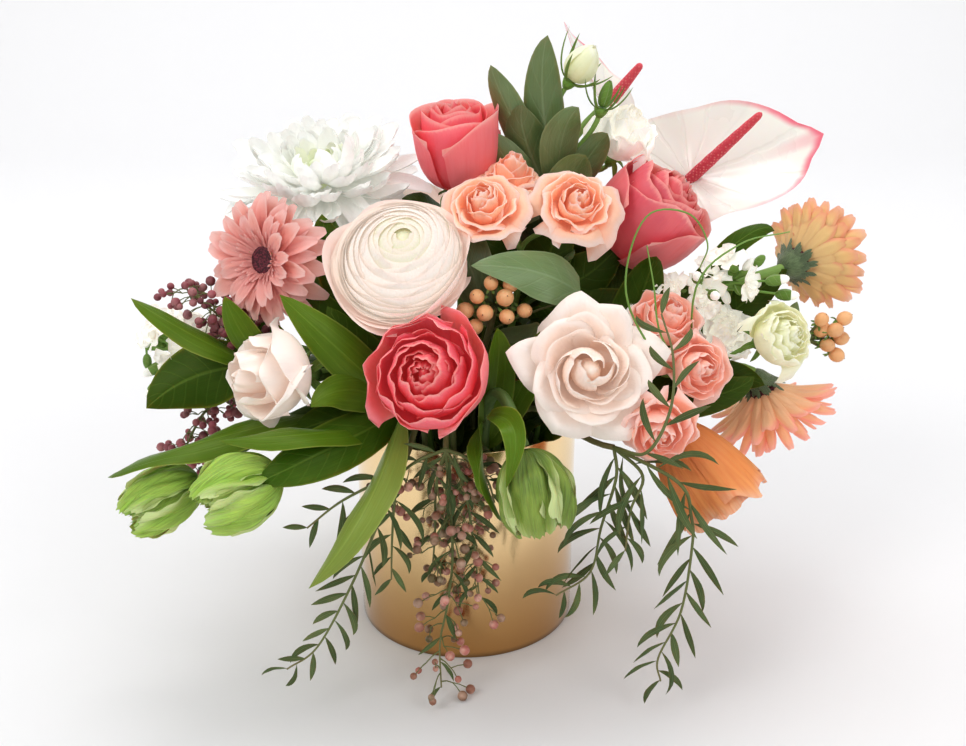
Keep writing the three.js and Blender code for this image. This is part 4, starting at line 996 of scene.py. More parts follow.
SPRAY_ROSES = {
    "spray_rose_1": Bloom((10, -40, 254), (-0.1, -0.65, 0.75), 20, 26, 29, **SMALL_ROSE),
    "spray_rose_2": Bloom((25, -6, 263), (0.1, -0.3, 0.95), 17, 26, 31, **SMALL_ROSE),
    "spray_rose_3": Bloom((57, -40, 255), (0.1, -0.75, 0.65), 20, 26, 37, **SMALL_ROSE),
}
SALMON_BLOOMS = {
    "lisianthus_salmon_1": Bloom((105, -45, 196), (0.2, -0.5, 0.8), 18, 26, 41, **SALMON),
    "lisianthus_salmon_2": Bloom((119, -64, 175), (0.35, -0.85, 0.3), 18, 26, 43, **SALMON),
    "lisianthus_salmon_3": Bloom((97, -92, 153), (0.1, -0.95, -0.1), 18, 26, 47, **SALMON),
}
TOP_BLOOMS = {
    "lisianthus_white_top": Bloom(
        (87, 22, 281), (0.3, -0.4, 0.85), 16.5, 34, 53,
        **dict(WHITE, outer=cup_curve(0.2, 0.0), ruffle=0.09, pointed=0.1)),
}
TOP_BUDS = (
    Bloom((63, 12, 319), (0.55, -0.2, 0.8), 9.5, 22, 67, **BUD, sepal_reach=21,
          finish="cream bud petal"),
    Bloom((75, 6, 304), (0.25, -0.1, 0.95), 3.6, 15, 69, **BUD, sepal_reach=15,
          finish="green cup"),
)
RIGHT_BLOOMS = {
    "lisianthus_white_right": Bloom(
        (140, -18, 180), (0.2, -0.7, 0.6), 18, 26, 59, **dict(WHITE, ruffle=0.11)),
    "lisianthus_cream": Bloom(
        (166, -42, 185), (0.5, -0.65, 0.45), 18, 28, 61,
        **dict(FRILLED, finish="cream bud petal", slot="petal_cream_green", petals=19,
               outer=cup_curve(0.3, -0.05), pointed=0, rounded=0.12, waves=4, inner_span=160)),
}
VINES = (
    ((96, -72, 186), (81, -72, 213), (81, -72, 238), (90, -72, 257), (109, -70, 256),
     (119, -68, 241), (118, -58, 226)),
    ((98, -76, 196), (93, -74, 222), (89, -72, 241)),
    ((118, -52, 214), (140, -45, 235), (169, -30, 238)),
)

SPRAY_ROSE_STEMS = {
    "spray_rose_green": dict(
        node="spray_rose_stem", heads=SPRAY_ROSES, mouth=(INNER, -40), fork=(30, -18, 225),
        leaves=[
            blade(0.9, (60, -12, 206), (86, -6, 228), 32, RAISED),
            blade(0.92, (46, -12, 222), (50, 0, 250), 28),
            blade(0.88, (70, -18, 190), (98, -22, 206), 30, RAISED),
            blade(0.9, (24, 14, 216), (22, 18, 244), 34, root=(22, 8, 196)),
            blade(0.9, (54, 16, 222), (50, 18, 250), 34, root=(52, 12, 200)),
            blade(0.88, (84, 8, 204), (82, 14, 226), 32, root=(78, 2, 190)),
        ],
    ),
}
LISIANTHUS_STEMS = {
    "lisianthus_salmon_green": dict(
        node="lisianthus_salmon_stem", heads=SALMON_BLOOMS, mouth=(OUTER, -42),
        fork=(88, -56, 160),
        leaves=[
            blade(0.95, (112, -28, 190), (132, -26, 214), 28, RAISED),
            blade(0.9, (92, -30, 196), (100, -34, 226), 28),
            blade(0.95, (128, -56, 156), (152, -52, 166), 20, (0, -1, 0.4)),
        ],
    ),
    "lisianthus_right_green": dict(
        node="lisianthus_right_stem", heads=RIGHT_BLOOMS, mouth=(MIDDLE, -18),
        fork=(124, -30, 154), fork_axis=(0.6, -0.1, 0.5), rise=38, tendrils=VINES,
        leaves=[
            blade(0.97, (140, -36, 160), (160, -44, 158), 20, (0, -1, 0.4)),
            blade(0.95, (132, -10, 190), (150, -6, 214), 26, RAISED),
            blade(0.95, (156, -6, 194), (176, -8, 212), 24, RAISED, root=(138, -8, 176)),
        ],
    ),
    "lisianthus_top_green": dict(
        node="lisianthus_top_stem", heads=TOP_BLOOMS, mouth=(INNER, 38), fork=(52, 18, 255),
        buds=TOP_BUDS, foliage="grey green leaf",
        leaves=[
            blade(0.97, (42, 14, 300), (44, 14, 333), 23, (-0.2, -1, 0.2)),
            blade(0.96, (26, 14, 290), (14, 12, 318), 19, (-0.4, -1, 0.2)),
            blade(0.95, (34, 14, 276), (31, 8, 298), 26, (-0.2, -1, 0.4)),
            blade(0.97, (52, 4, 280), (60, -4, 298), 22, (0.2, -1, 0.4)),
            blade(0.94, (66, 10, 268), (76, 0, 284), 20, (0.2, -1, 0.5)),
            blade(0.92, (26, 10, 264), (14, 6, 284), 22, (-0.2, -1, 0.4)),
            blade(0.9, (56, 4, 256), (64, -8, 274), 26, (0.1, -1, 0.5)),
        ],
    ),
}


def stemmed_bloom(name, bloom, head=cupped_head):
    """A bloom as one piece, and its stem, cup and leaves as another."""
    form = Form(bloom.seed)
    head(form, bloom)
    form.piece(name + "_petals", bloom.slot, name + "_bloom", bloom.finish)
    seat, length = bloom.seat, bloom.cup * 1.3
    green = Form(bloom.seed + 1)
    path = stem_path(bloom.mouth, seat.under - seat.facing * length / 2, seat.facing, bloom.rise)
    green.tube(path, bloom.stem, 10)
    green_cup(green, seat, bloom.cup, length, bloom.sepals)
    filler_leaves(green, path, 6, 44)
    green.piece(name + "_green", "stem", name + "_stem", "stem", "green cup", "dark leaf with painted shade")


def small_heads(heads):
    """The heads of a branching stem, each a piece of its own."""
    for name, bloom in heads.items():
        form = Form(bloom.seed)
        cupped_head(form, bloom)
        form.piece(name + "_petals", bloom.slot, name, bloom.finish)


def branching_stem(name, node, heads, mouth, fork, leaves, fork_axis=(0, 0, 1), rise=45, buds=(),
                   tendrils=(), foliage="dark leaf with painted shade", stem=2.0, cup=4):
    """One stem that forks to several small blooms."""
    form = Form(len(name))
    fork, upward = np.asarray(fork, float), unit(fork_axis)
    main_stem = stem_path(mouth, fork, upward, rise)
    form.tube(main_stem, stem, 10)
    start = fork - upward * stem
    for bloom in (*heads.values(), *buds):
        seat = bloom.seat
        end = seat.under - seat.facing * cup * 0.8
        reach = np.linalg.norm(end - fork) * 0.4
        handles = (start, start + upward * reach, end - seat.facing * reach, end)
        form.tube(bezier(handles, 12), stem * 0.7, 8)
        if bloom in buds:
            green_cup(form, seat, cup, cup * 1.3, 6, bloom.sepal_reach, 1, 0.12, (-1.2, -0.5))
        else:
            green_cup(form, seat, cup, cup * 1.3, 5, cup * 2.6)
    for points in tendrils:
        curve = through([fork, *points], 6)
        form.tube(curve, np.linspace(1, 0.55, len(curve)) * size("tendril") / 2, 6)
    leaves_on(form, main_stem, leaves, 2)
    filler_leaves(form, main_stem, 7, 44)
    for k, bud in enumerate(buds):
        cupped_head(form, bud, 3 + k)
    form.piece(name, "stem", node, "stem", "green cup", foliage, *(bud.finish for bud in buds))


# Rays and domes


def strap(form, seat, path, width, thickness, turn, layer, slot=0, cupped=0.5, rows=9, columns=5,
          notch=0.0, root=0.45, tilted=0.0, tip=0.9, groove=0.0):
    """A long narrow petal; path is its middle line as radius and height from root to tip."""
    across, up = mesh_grid(rows, columns)
    spots = np.linspace(0, 1, len(path))
    run = max(np.ptp(path[:, 0]) + np.ptp(path[:, 1]), 1)
    share = up * (1 - 0.3 * width / run * tip * across**2)
    out = np.interp(share, spots, path[:, 0])
    height = np.interp(share, spots, path[:, 1])
    half = width / 2 * (root + (1 - root) * np.sin(np.pi * np.minimum(up, 0.62) / 1.24))
    half = half * (1 - 0.45 * np.clip((up - 0.72) / 0.28, 0, 1) ** 2)
    slope = np.arctan2(np.gradient(path[:, 1]), np.gradient(path[:, 0]))
    lean = np.interp(share, spots, slope)
    lift = cupped * half * across**2 + tilted * half * across
    lift = lift + groove * np.cos(2.5 * math.pi * across) * np.sin(np.pi * up)
    out = out - notch * np.cos(math.pi * across * 1.5) * smooth(0.85, 1, up)
    x, z = out - lift * np.sin(lean), height + lift * np.cos(lean)
    form.sheet(seat.place(spun(x, across * half, z, turn)), thickness, layer=layer, slot=slot)


def gerbera(name, at, axis, mouth, seed, rings, disc=9, dome=7, florets=110, grains=26,
            bracts=64, **bends):
    """Rings of strap petals, a ring of tiny florets, a disc, and the hairy cup on its stem."""
    seat = Seat(at, axis, 2 * dome)
    form = Form(seed)
    draw = form.draw
    share = np.linspace(0, 1, 11)
    for count, reach, width, rise, droop, base, phase, bow, cupped in rings:
        for k in range(count):
            turn = 2 * math.pi * (k + phase) / count + draw.uniform(-0.09, 0.09)
            length = reach * draw.uniform(0.88, 1.0)
            hang = droop * draw.uniform(0.3, 1.7)
            bend = bow * share**3 * draw.uniform(0.3, 1.3)
            out = lerp(disc * 0.5, length, share) - bend
            up = dome * base + rise * share - hang * share**2.5 + bend * 0.6
            strap(form, seat, np.stack((out, up), -1), width * draw.uniform(0.85, 1.15),
                  size("petal"), turn, draw.uniform(0.2, 1), cupped=cupped, notch=0.5,
                  groove=0.3, tilted=draw.uniform(-0.25, 0.25), rows=11, columns=9, root=0.4,
                  tip=1.0)
    for k in range(florets):
        out = lerp(disc * 0.8, disc * draw.uniform(1.05, 1.9), share)
        up = dome * (1 + draw.uniform(0.3, 0.9) * share)
        strap(form, seat, np.stack((out, up), -1), 1.5, 0.3, k * GOLDEN, 1.0, rows=5, columns=3,
              root=0.8)
    profile = [(0, dome * 0.4), (disc * 0.9, dome * 0.4), (disc * 0.95, dome * 0.85),
               (disc * 0.7, dome * 1.1), (disc * 0.3, dome * 1.0), (0, dome * 0.92)]
    form.turned(profile, seat, 28, slot=1)
    for k in range(grains):
        reach = disc * draw.uniform(0.92, 1.02)
        foot = seat.place(np.array(spun(reach, 0, dome * 0.9, k * GOLDEN)))
        form.tube((foot, foot + seat.facing * draw.uniform(1.2, 2.4)), (0.4, 0.25), 5, slot=2)
    form.piece(name + "_petals", "petal_" + name, name + "_bloom", name + " petal",
               "gerbera disc", "pollen")
    green = Form(seed + 1)
    cup = 8
    path = stem_path(mouth, seat.under - seat.facing * cup * 0.6, seat.facing, **bends)
    green.tube(path, 2.6, 10)
    filler_leaves(green, path, 3, 34)
    bowl = [(0, -cup), (2.6, -cup), (5, -cup * 0.75), (7.6, -cup * 0.3), (9, 0), (0, 0)]
    under = Seat(seat.under, seat.facing)
    green.turned(bowl, under, 16, slot=1)
    share = np.linspace(0, 1, 5)
    for k in range(bracts):
        level = -0.05 - 0.85 * (k % 5) / 5
        reach = draw.uniform(7, 11)
        bract = np.stack((9.3 + 6.5 * level + reach * 0.55 * share,
                          cup * level + reach * 0.8 * share - 1.5 * share**2), -1)
        strap(green, under, bract, 2.2, 0.5, k * GOLDEN, 1, 1, rows=5, columns=3, tip=2)
    green.piece(name + "_green", "stem", name + "_stem", "stem", "gerbera cup", "dark leaf with painted shade")


# Each ring of petals: count, reach, width, rise, droop, the level of its roots on the disc, its
# turn in petals, how far the tips bend back, and how cupped a petal is
GERBERAS = {
    "gerbera_pink": dict(
        at=(-104, -38, 225), axis=(-0.52, -0.82, 0.25), mouth=(MIDDLE, -160), seed=89,
        rings=((25, 37, 10, 8, 12, 0.35, 0, 0, 0.3), (24, 35, 9.5, 13, 10, 0.5, 0.5, 0, 0.3),
               (18, 27, 7, 14, 4, 0.7, 0, 0, 0.3))),
    "gerbera_peach": dict(
        at=(186, 5, 213), axis=(0.78, 0.6, 0.1), mouth=(MIDDLE, 12), seed=97,
        rings=((17, 31, 10, 14, 0, 0.35, 0, 5, 0.3), (20, 35, 9.5, 19, 4, 0.6, 0.5, 3, 0.3),
               (18, 34, 9, 25, 4, 0.8, 0, 0, 0.3), (14, 25, 8, 26, 3, 0.9, 0, 0, 0.3))),
    "gerbera_coral": dict(
        at=(168, -14, 141), axis=(0.4, -0.1, -0.9), mouth=(OUTER, -3), seed=101, rise=28, run=14,
        rings=((17, 33, 7, 15, 0, 0.35, 0, 2, 0.8), (19, 40, 7, 18, 6, 0.6, 0.5, 0, 0.8),
               (18, 36, 7, 26, 3, 0.8, 0, 0, 0.8), (12, 24, 7, 28, 2, 0.9, 0, 0, 0.3))),
}


def chrysanthemum(radius=57, height=56, petals=135, seed=103):
    """A big incurved bloom: channelled petals over a dome, short and green in its heart."""
    seat = Seat((-82, 28, 262), (-0.1, -0.35, 0.93), height)
    form = Form(seed)
    draw = form.draw
    share = np.linspace(0, 1, 13)
    for k in range(petals):
        outer = math.sqrt((k + 0.5) / petals)
        lift = math.radians(lerp(80, -16, outer) + draw.uniform(-12, 12))
        length = radius * lerp(0.33, 1.14, outer**0.9) * draw.uniform(0.82, 1.05)
        curl = math.radians(lerp(95, 45, outer)) * draw.uniform(0.5, 1.6)
        angle = lift + curl * share**1.8 * (-0.7 if outer > 0.8 and k % 3 == 0 else 1)
        start = radius * 0.1
        step = (length - start) / len(share)
        out = start + np.cumsum(np.cos(angle)) * step
        up = height * 0.34 + np.cumsum(np.sin(angle)) * step * 0.8
        strap(form, seat, np.stack((out, up), -1), lerp(8, 16, outer) * draw.uniform(0.8, 1.15),
              size("petal"), k * GOLDEN + draw.uniform(-0.12, 0.12), outer,
              cupped=lerp(0.8, 0.45, outer), rows=13, columns=9, notch=0.6, root=0.35,
              groove=0.25, tilted=draw.uniform(-0.2, 0.2), tip=0.8)
    core = [(0, 0), (radius * 0.25, 0), (radius * 0.3, height * 0.25),
            (radius * 0.2, height * 0.4), (0, height * 0.44)]
    form.turned(core, seat, 20, layer=0.0)
    form.piece("chrysanthemum_petals", "petal_white", "chrysanthemum_bloom", "white petal")
    green = Form(7)
    path = stem_path((INNER, 160), seat.under - seat.facing * 4, seat.facing)
    green.tube(path, 3.0, 10)
    green_cup(green, seat, 8, 8, 7, 12)
    filler_leaves(green, path, 5, 42)
    green.piece("chrysanthemum_green", "stem", "chrysanthemum_stem", "stem", "green cup",
                "dark leaf with painted shade")


# Anthuriums and tulips


def anthurium(name, at, tipward, face, length, width, spadix, spadix_axis, mouth):
    """A heart shaped spathe, its spadix and its stem."""
    form = Form(name)
    centre = np.array(at, float)
    forward, normal = unit(tipward), unit(face)
    normal = unit(normal - forward * normal.dot(forward))
    side = np.cross(normal, forward)
    across, up = mesh_grid(22, 73)
    sweep, lobe_turn, lobe_width, cleft_width = math.radians(174), 2.2, 0.55, 0.35
    turn = across * sweep
    tip = np.maximum(np.cos(turn / 2), 0) ** 13
    lobe = np.exp(-(((np.abs(turn) - lobe_turn) / lobe_width) ** 2))
    cleft = np.exp(-(((np.pi - np.abs(turn)) / cleft_width) ** 2))
    reach = width * (0.5 + 0.1 * lobe - 0.28 * cleft) + (length - width * 0.5) * tip
    reach = reach + 0.14 * length * np.exp(-((turn / 0.11) ** 2))
    out = up * reach
    cup = 0.2 * width * up**2 * (1 - 1.4 * tip) + 3 * np.sin(3 * turn) * up**2
    crease = -0.07 * width * np.exp(-((turn / 0.25) ** 2)) * np.sin(np.pi * up)
    puckers = crease + 0.4 * np.sin(7 * turn) * np.sin(np.pi * up)
    puckers = puckers + 0.7 * np.sin(9 * turn + 1) * up**6
    ahead, aside = out[..., None] * np.cos(turn)[..., None], (out * np.sin(turn))[..., None]
    points = centre + ahead * forward + aside * side + (cup + puckers)[..., None] * normal
    form.sheet(points, 1.0)
    spike = Seat(centre - unit(spadix_axis), spadix_axis)
    heights = np.linspace(0, 1, 60)
    blunt = np.clip(1 - np.clip((heights - 0.93) / 0.07, 0, 1) ** 2, 0, 1)
    thick = 3.5 * (1 - 0.46 * heights**2) * np.sqrt(blunt)
    form.turned([(0, 0), *zip(thick, heights * spadix), (0, spadix)], spike, 40, slot=1,
                ripple=pebbled)
    form.tube(stem_path(mouth, centre + normal * 0.2, normal), 2.4, 12, slot=2)
    form.piece(name + "_flower", "anthurium", name, "anthurium spathe", "anthurium spadix", "stem")


def pebbled(turn, height):
    """How the tiny florets of a spadix swell its radius."""
    return 1 + 0.045 * np.sin(9 * turn + height * 2.3) * np.sin(5 * turn - height * 3.1)


ANTHURIUMS = {
    "anthurium_right": dict(at=(132, 55, 250), tipward=(0.93, -0.03, 0.36),
                            face=(-0.15, -0.75, 0.65), length=70, width=74, spadix=62,
                            spadix_axis=(0.5, -0.53, 0.69), mouth=(MIDDLE, 36)),
    "anthurium_back": dict(at=(83, 74, 289), tipward=(-0.45, 0, 0.9), face=(0.9, -0.38, 0.2),
                           length=48, width=38, spadix=36, spadix_axis=(0.5, -0.48, 0.75),
                           mouth=(INNER, 80)),
}


def tulip(name, at, axis, radius, height, mouth, flare, seed, leaves, finish="tulip petal"):
    """A parrot tulip: crumpled green petals with ragged cream edges, stem and leaves."""
    seat = Seat(at, axis, height)
    form = Form(seed)
    petals, outer_petals, span = 9, 4, math.radians(118)
    across, up = mesh_grid(29, 33)
    side = np.abs(across)
    for k in range(petals):
        inner = k >= outer_petals
        phase = form.draw.uniform(0, 6, 6)
        handles = np.array(((0, 0.03), (1.05, 0.05), (1.28, 0.6), (0.82 + flare, 0.95)))
        handles = handles * (radius * (0.78 if inner else 0.98), height * (0.95 if inner else 1.0))
        cuts = 0.05 * np.abs(np.sin(7 * across + phase[0]) * np.sin(17 * across)) * up**4
        frayed = 0.08 + 0.05 * np.sin(9 * up + phase[1]) + 0.03 * np.sin(23 * up + phase[0])
        path = bezier(handles, np.clip(up * (1 - 0.2 * side**2.2) - cuts, 0, 1))
        r, z = path[..., 0], path[..., 1]
        warp = across + 0.18 * np.sin(5 * up + phase[4])
        folds = np.abs(np.sin(4.5 * warp + phase[2])) - 0.5
        crumple = np.sin(7 * across + 6 * up + phase[3])
        crumple = crumple + 0.6 * np.sin(14 * across - 11 * up + phase[5])
        r = r + radius * (0.3 * folds * up**0.7 + 0.09 * crumple * up) * (1 - 0.4 * up**4)
        roll = np.clip(side - 0.66, 0, 1) * up
        r = r + radius * 0.68 * roll * (1 if k % 2 else 0.5)
        turn = across * (span * (1 - frayed * side**3)) / 2
        turn = turn + k * math.pi / 2.2 + (0.8 if inner else 0) + 0.3 * up
        form.sheet(seat.place(wrapped(r, turn, z)), 0.6, layer=0.5 if inner else 1.0)
    form.piece(name + "_petals", "petal_tulip", name + "_bloom", finish)
    green = Form(seed + 1)
    path = stem_path(mouth, seat.under - seat.facing * 2.6, seat.facing)
    green.tube(path, 3.0, 12)
    cup = [(0, -5.2), (2.4, -5.2), (3.4, -2), (3.6, 0), (0, 0)]
    green.turned(cup, Seat(seat.under, seat.facing), 12)
    leaves_on(green, path, leaves, 1, 0.9)
    # The stem wears the stem green darkened as painted shade
    green.piece(name + "_green", "stem", name + "_stem", "tulip stem in painted shade", "tulip leaf")


TULIPS = {
    "tulip_left_outer": dict(
        at=(-152, -94, 116), axis=(-0.8, -0.42, -0.4), radius=15, height=46,
        mouth=(OUTER, -146), flare=-0.3, seed=73,
        leaves=[blade(0.6, (-130, -92, 146), (-176, -98, 130), 22, (0, -0.5, 1), wave=2.5,
                      twist=0.6)]),
    "tulip_left_inner": dict(
        at=(-110, -106, 126), axis=(-0.87, -0.3, -0.35), radius=17, height=48,
        mouth=(OUTER, -130), flare=-0.2, seed=79,
        leaves=[blade(0.6, (-73, -104, 156), (-115, -114, 157), 18, (0, -0.4, 1), wave=1.5)]),
    "tulip_front": dict(
        at=(35, -108, 127), axis=(0.25, -0.3, -0.92), radius=17, height=46, mouth=(OUTER, -79),
        # Its petals wear the tulip green darkened as painted shade
        flare=-0.1, seed=83, finish="deep tulip petal",
        leaves=[blade(0.62, (10, -98, 134), (20, -100, 106), 17, (-0.6, -0.8, 0.3),
                      (10, -66, 146), fold=0.5, wave=1.5, twist=1.2),
                blade(0.6, (17, -64, 170), (17, -70, 199), 20, (0.3, -1, 0.2), fold=0.4, wave=0.6),
                blade(0.58, (32, -60, 168), (39, -66, 196), 20, (-0.3, -1, 0.2), fold=0.4,
                      wave=0.6),
                blade(0.64, (25, -114, 162), (21, -122, 136), 14, (-0.3, -0.7, 0.7),
                      (12, -86, 158), fold=0.5, wave=0.8)]),
}


# Sprays of berries, florets and leaflets


def ball(form, at, out, radius, stretch=1.0, slot=0, sides=10, tip=True):
    """A berry about the direction out, with a small point at its end."""
    angles = np.linspace(0, math.pi, 9)
    profile = [(radius * math.sin(a), -radius * stretch * math.cos(a)) for a in angles]
    if tip:
        profile[-1:] = [(radius * 0.12, radius * stretch * 0.99), (0.0, radius * stretch * 1.12)]
    form.turned(profile, Seat(at, out), sides, slot=slot)


def berries_on(form, path, count, spread, cluster, start=0.03, hang=0.5):
    """Small berries on thin forked stalks all round a twig."""
    draw, radius = form.draw, size("pepper_berry") / 2
    for k in range(count):
        root, _ = along(path, lerp(start, 1.0, (k + draw.uniform(0.2, 0.8)) / count))
        turn = k * GOLDEN
        out = unit((math.cos(turn), math.sin(turn), draw.uniform(-0.4, 0.4) - hang))
        fork = np.maximum(root + out * spread * draw.uniform(0.3, 0.6), LOWEST)
        form.tube((root, (root + fork) / 2 + (0, 0, 0.8), fork), (0.45, 0.35, 0.3), 5)
        for _ in range(cluster):
            swing = unit(out + draw.normal(0, 0.55, 3) + (0, 0, -0.25))
            at = np.maximum(fork + swing * spread * draw.uniform(0.25, 0.6), LOWEST)
            form.tube((fork, (fork + at) / 2 + (0, 0, 0.5), at), (0.3, 0.26, 0.3), 5)
            ball(form, at + swing * radius * 0.8, swing, radius * draw.uniform(0.65, 1.1), slot=1)


def leaflets_on(form, path, count, length, width, start):
    """Narrow leaflets in turn along both sides of a twig, shorter towards its tip."""
    draw = form.draw
    face = np.array(RAISED, float)
    for k in range(count):
        share = lerp(start, 0.995, k / (count - 1))
        root, forward = along(path, share)
        side = unit(np.cross(unit(face), forward)) * (1 if k % 2 else -1)
        turned = unit(face + draw.normal(0, 0.35, 3))
        out = unit(forward + side * 0.8 * draw.uniform(0.6, 1.25) + draw.normal(0, 0.12, 3))
        reach = length * lerp(1.0, 0.5, share) * draw.uniform(0.8, 1.1)
        tip = np.maximum(root + out * reach + (0, 0, -0.08 * reach), LOWEST)
        bow = draw.uniform(-0.06, 0.22) * np.sign(side.dot(out)) * side
        bow = bow + turned * draw.uniform(-0.06, 0.08)
        middle = np.maximum((root + tip) / 2 + reach * bow + (0, 0, 0.03 * reach), LOWEST)
        leaf(form, root, middle, tip, width * draw.uniform(0.85, 1.1), turned, 0.35, fold=-0.2,
             wave=0.15, slot=2, rows=9, columns=5, widest=0.5, blunt=0.85)


def pepper_spray(name, mouth, first, axis, slot, branches, rise=45, berry="olive berry"):
    """Twigs that hang from one stem, with their leaflets and berries."""
    form = Form(name)
    form.tube(stem_path(mouth, np.array(first, float), axis, rise), 1.6, 8)
    for points, leaflets, berries in branches:
        path = through([first, *points])
        form.tube(path, np.linspace(1.0, 0.45, len(path)), 6)
        if leaflets:
            leaflets_on(form, path, *leaflets)
        if berries:
            berries_on(form, path, *berries)
    form.piece(name + "_spray", slot, name, "twig", berry, "pepper leaflet")


# Each twig of a spray: its points, its leaflets as count, length, width and start, and its
# berries as count, spread, number on a stalk, start and how far the stalks hang
PEPPER_SPRAYS = {
    "pepper_berries_left": dict(
        mouth=(OUTER, 171), first=(-110, -20, 148), axis=(-1, -0.2, 0.1), rise=35, slot="berry",
        berry="pepper berry",
        branches=(
            (((-116, -28, 176), (-146, -36, 210)), None, (34, 16, 3, 0.25, -0.1)),
            (((-138, -32, 142), (-152, -38, 122), (-158, -44, 106)), None, (24, 13, 3, 0.15)),
        )),
    "pepper_berries_front": dict(
        mouth=(OUTER, -96), first=(-9, -80, 137), axis=(0, -0.8, -0.3), slot="berry",
        branches=(
            (((-7, -84, 110), (-6, -83, 76), (-9, -84, 48), (-13, -90, 28), (-12, -104, 10)),
             (11, 24, 3.0, 0.04), (30, 17, 2)),
            (((0, -82, 118), (5, -80, 84), (8, -80, 50)), (14, 28, 3.0, 0.05), (19, 16, 2)),
            (((-14, -84, 118), (-15, -82, 90), (-17, -80, 66)), (7, 22, 3.2, 0.05), (12, 16, 2)),
            (((-24, -84, 132), (-36, -82, 120), (-42, -80, 108)), (9, 20, 2.8, 0.1),
             (7, 12, 2, 0.3)),
            (((2, -84, 134), (12, -84, 122), (16, -82, 108)), (9, 20, 2.8, 0.1),
             (7, 12, 2, 0.3)),
        )),
    "pepper_leaves_right": dict(
        mouth=(OUTER, -60), first=(76, -84, 140), axis=(0.8, -0.5, 0.1), slot="foliage",
        branches=(
            (((106, -104, 130), (113, -106, 112), (114, -108, 97), (110, -112, 62),
              (100, -112, 34), (102, -112, 20)), (23, 38, 3.9, 0.12), None),
            (((77, -90, 126), (70, -94, 100), (65, -96, 75), (48, -94, 60)),
             (19, 36, 3.9, 0.05), None),
            (((90, -92, 128), (84, -98, 112), (82, -100, 90)), (9, 34, 3.8, 0.1), None),
            (((88, -112, 150), (98, -112, 172), (99, -105, 196), (94, -95, 214)),
             (9, 30, 3.8, 0.3), None),
        )),
    "pepper_leaves_left": dict(
        mouth=(OUTER, -113), first=(-32, -84, 128), axis=(-0.3, -0.8, -0.3), slot="foliage",
        berry="pepper berry",
        branches=(
            (((-43, -98, 104), (-57, -107, 73), (-75, -111, 40), (-91, -113, 28)),
             (21, 28, 3.5, 0.12), None),
            (((-35, -88, 112), (-37, -88, 89), (-38, -88, 66)), (9, 26, 3.5, 0.15), None),
            (((-44, -92, 124), (-62, -98, 116), (-78, -102, 104)), (7, 26, 3.5, 0.2), None),
        )),
}


def double_floret(form, at, out, radius, petals=9):
    """A small double floret of ruffled petals."""
    seat = Seat(at, out)
    draw = form.draw
    across, up = mesh_grid(6, 7)
    for k in range(petals):
        outer = 1 - k / petals
        lift = math.radians(lerp(70, 12, outer) + draw.uniform(-10, 10))
        length = radius * lerp(0.5, 1.0, outer)
        half = length * 0.42 * np.sin(np.pi * np.minimum(up * 0.62 + 0.05, 0.5)) * across
        reach = length * up * (1 - 0.12 * across**2)
        wave = 0.07 * radius * np.sin(5 * across + draw.uniform(0, 6)) * up**2
        x, z = reach * math.cos(lift) - wave, reach * math.sin(lift) + wave
        turn = k * GOLDEN + draw.uniform(-0.2, 0.2)
        form.sheet(seat.place(spun(x, half, z, turn)), 0.4, outer)


def stock(name, mouth, end, axis, rise, florets, buds, spread, start, bud_start, hanging,
          leaves=()):
    """White florets and closed buds up a stem."""
    form = Form(name)
    draw = form.draw
    path = stem_path(mouth, end, axis, rise)
    form.tube(path, 2.0, 10, slot=1)
    for k in range(florets):
        root, _ = along(path, lerp(start, 0.97, (k + 0.5) / florets))
        turn = k * 2.4
        out = unit(unit((0, -0.9, 0.4)) + (math.cos(turn), 0.4 * math.sin(turn), math.sin(turn)))
        centre = root + out * spread * draw.uniform(0.7, 1.15)
        form.tube((root, centre), 0.9, 6, slot=1)
        double_floret(form, centre, out, spread * draw.uniform(0.85, 1.05))
    for k in range(buds):
        root, _ = along(path, lerp(bud_start, 1.0, k / (buds - 1)))
        turn = k * 2.1 + 0.6
        out = unit((math.cos(turn), -0.5, 0.4 + math.sin(turn)))
        length = spread * draw.uniform(0.35, 0.75)
        form.tube((root, root + out * length), 0.6, 6, slot=1)
        ball(form, root + out * length, out, 2.5, 1.8, slot=2 if k % 2 else 0, tip=False)
    fork = along(path, 0.9)[0]
    for place in np.array(hanging, float):
        out = unit(place - fork)
        bow = (fork, lerp(fork, place, 0.4) + (0, -3, 4), place - out * 4, place)
        form.tube(bezier(bow, 9), 0.7, 6, slot=1)
        ball(form, place, out, 3.2, 1.7, slot=2, tip=False)
        ball(form, place + out * 3, out, 2.6, 1.7, slot=0, tip=False)
    leaves_on(form, path, leaves, 3)
    form.piece(name + "_flower", "stock", name, "lisianthus petal", "stem", "green cup",
               "broad leaf")


STOCKS = {
    "stock_left": dict(
        mouth=(OUTER, 186), end=(-176, -16, 170), axis=(-0.9, 0, 0.1), rise=60, florets=12,
        buds=12, spread=14, start=0.8, bud_start=0.88,
        hanging=((-170, -24, 160), (-164, -24, 152), (-172, -22, 148), (-160, -24, 160))),
    "stock_right": dict(
        mouth=(MIDDLE, -38), end=(152, -24, 216), axis=(0.6, -0.5, 0.5), rise=45, florets=15,
        buds=34, spread=13, start=0.68, bud_start=0.7,
        hanging=((121, -40, 216), (129, -44, 208), (164, -30, 212), (170, -30, 204)),
        leaves=[blade(0.85, (146, -22, 232), (164, -20, 236), 13, (0, -0.7, 0.7))]),
}


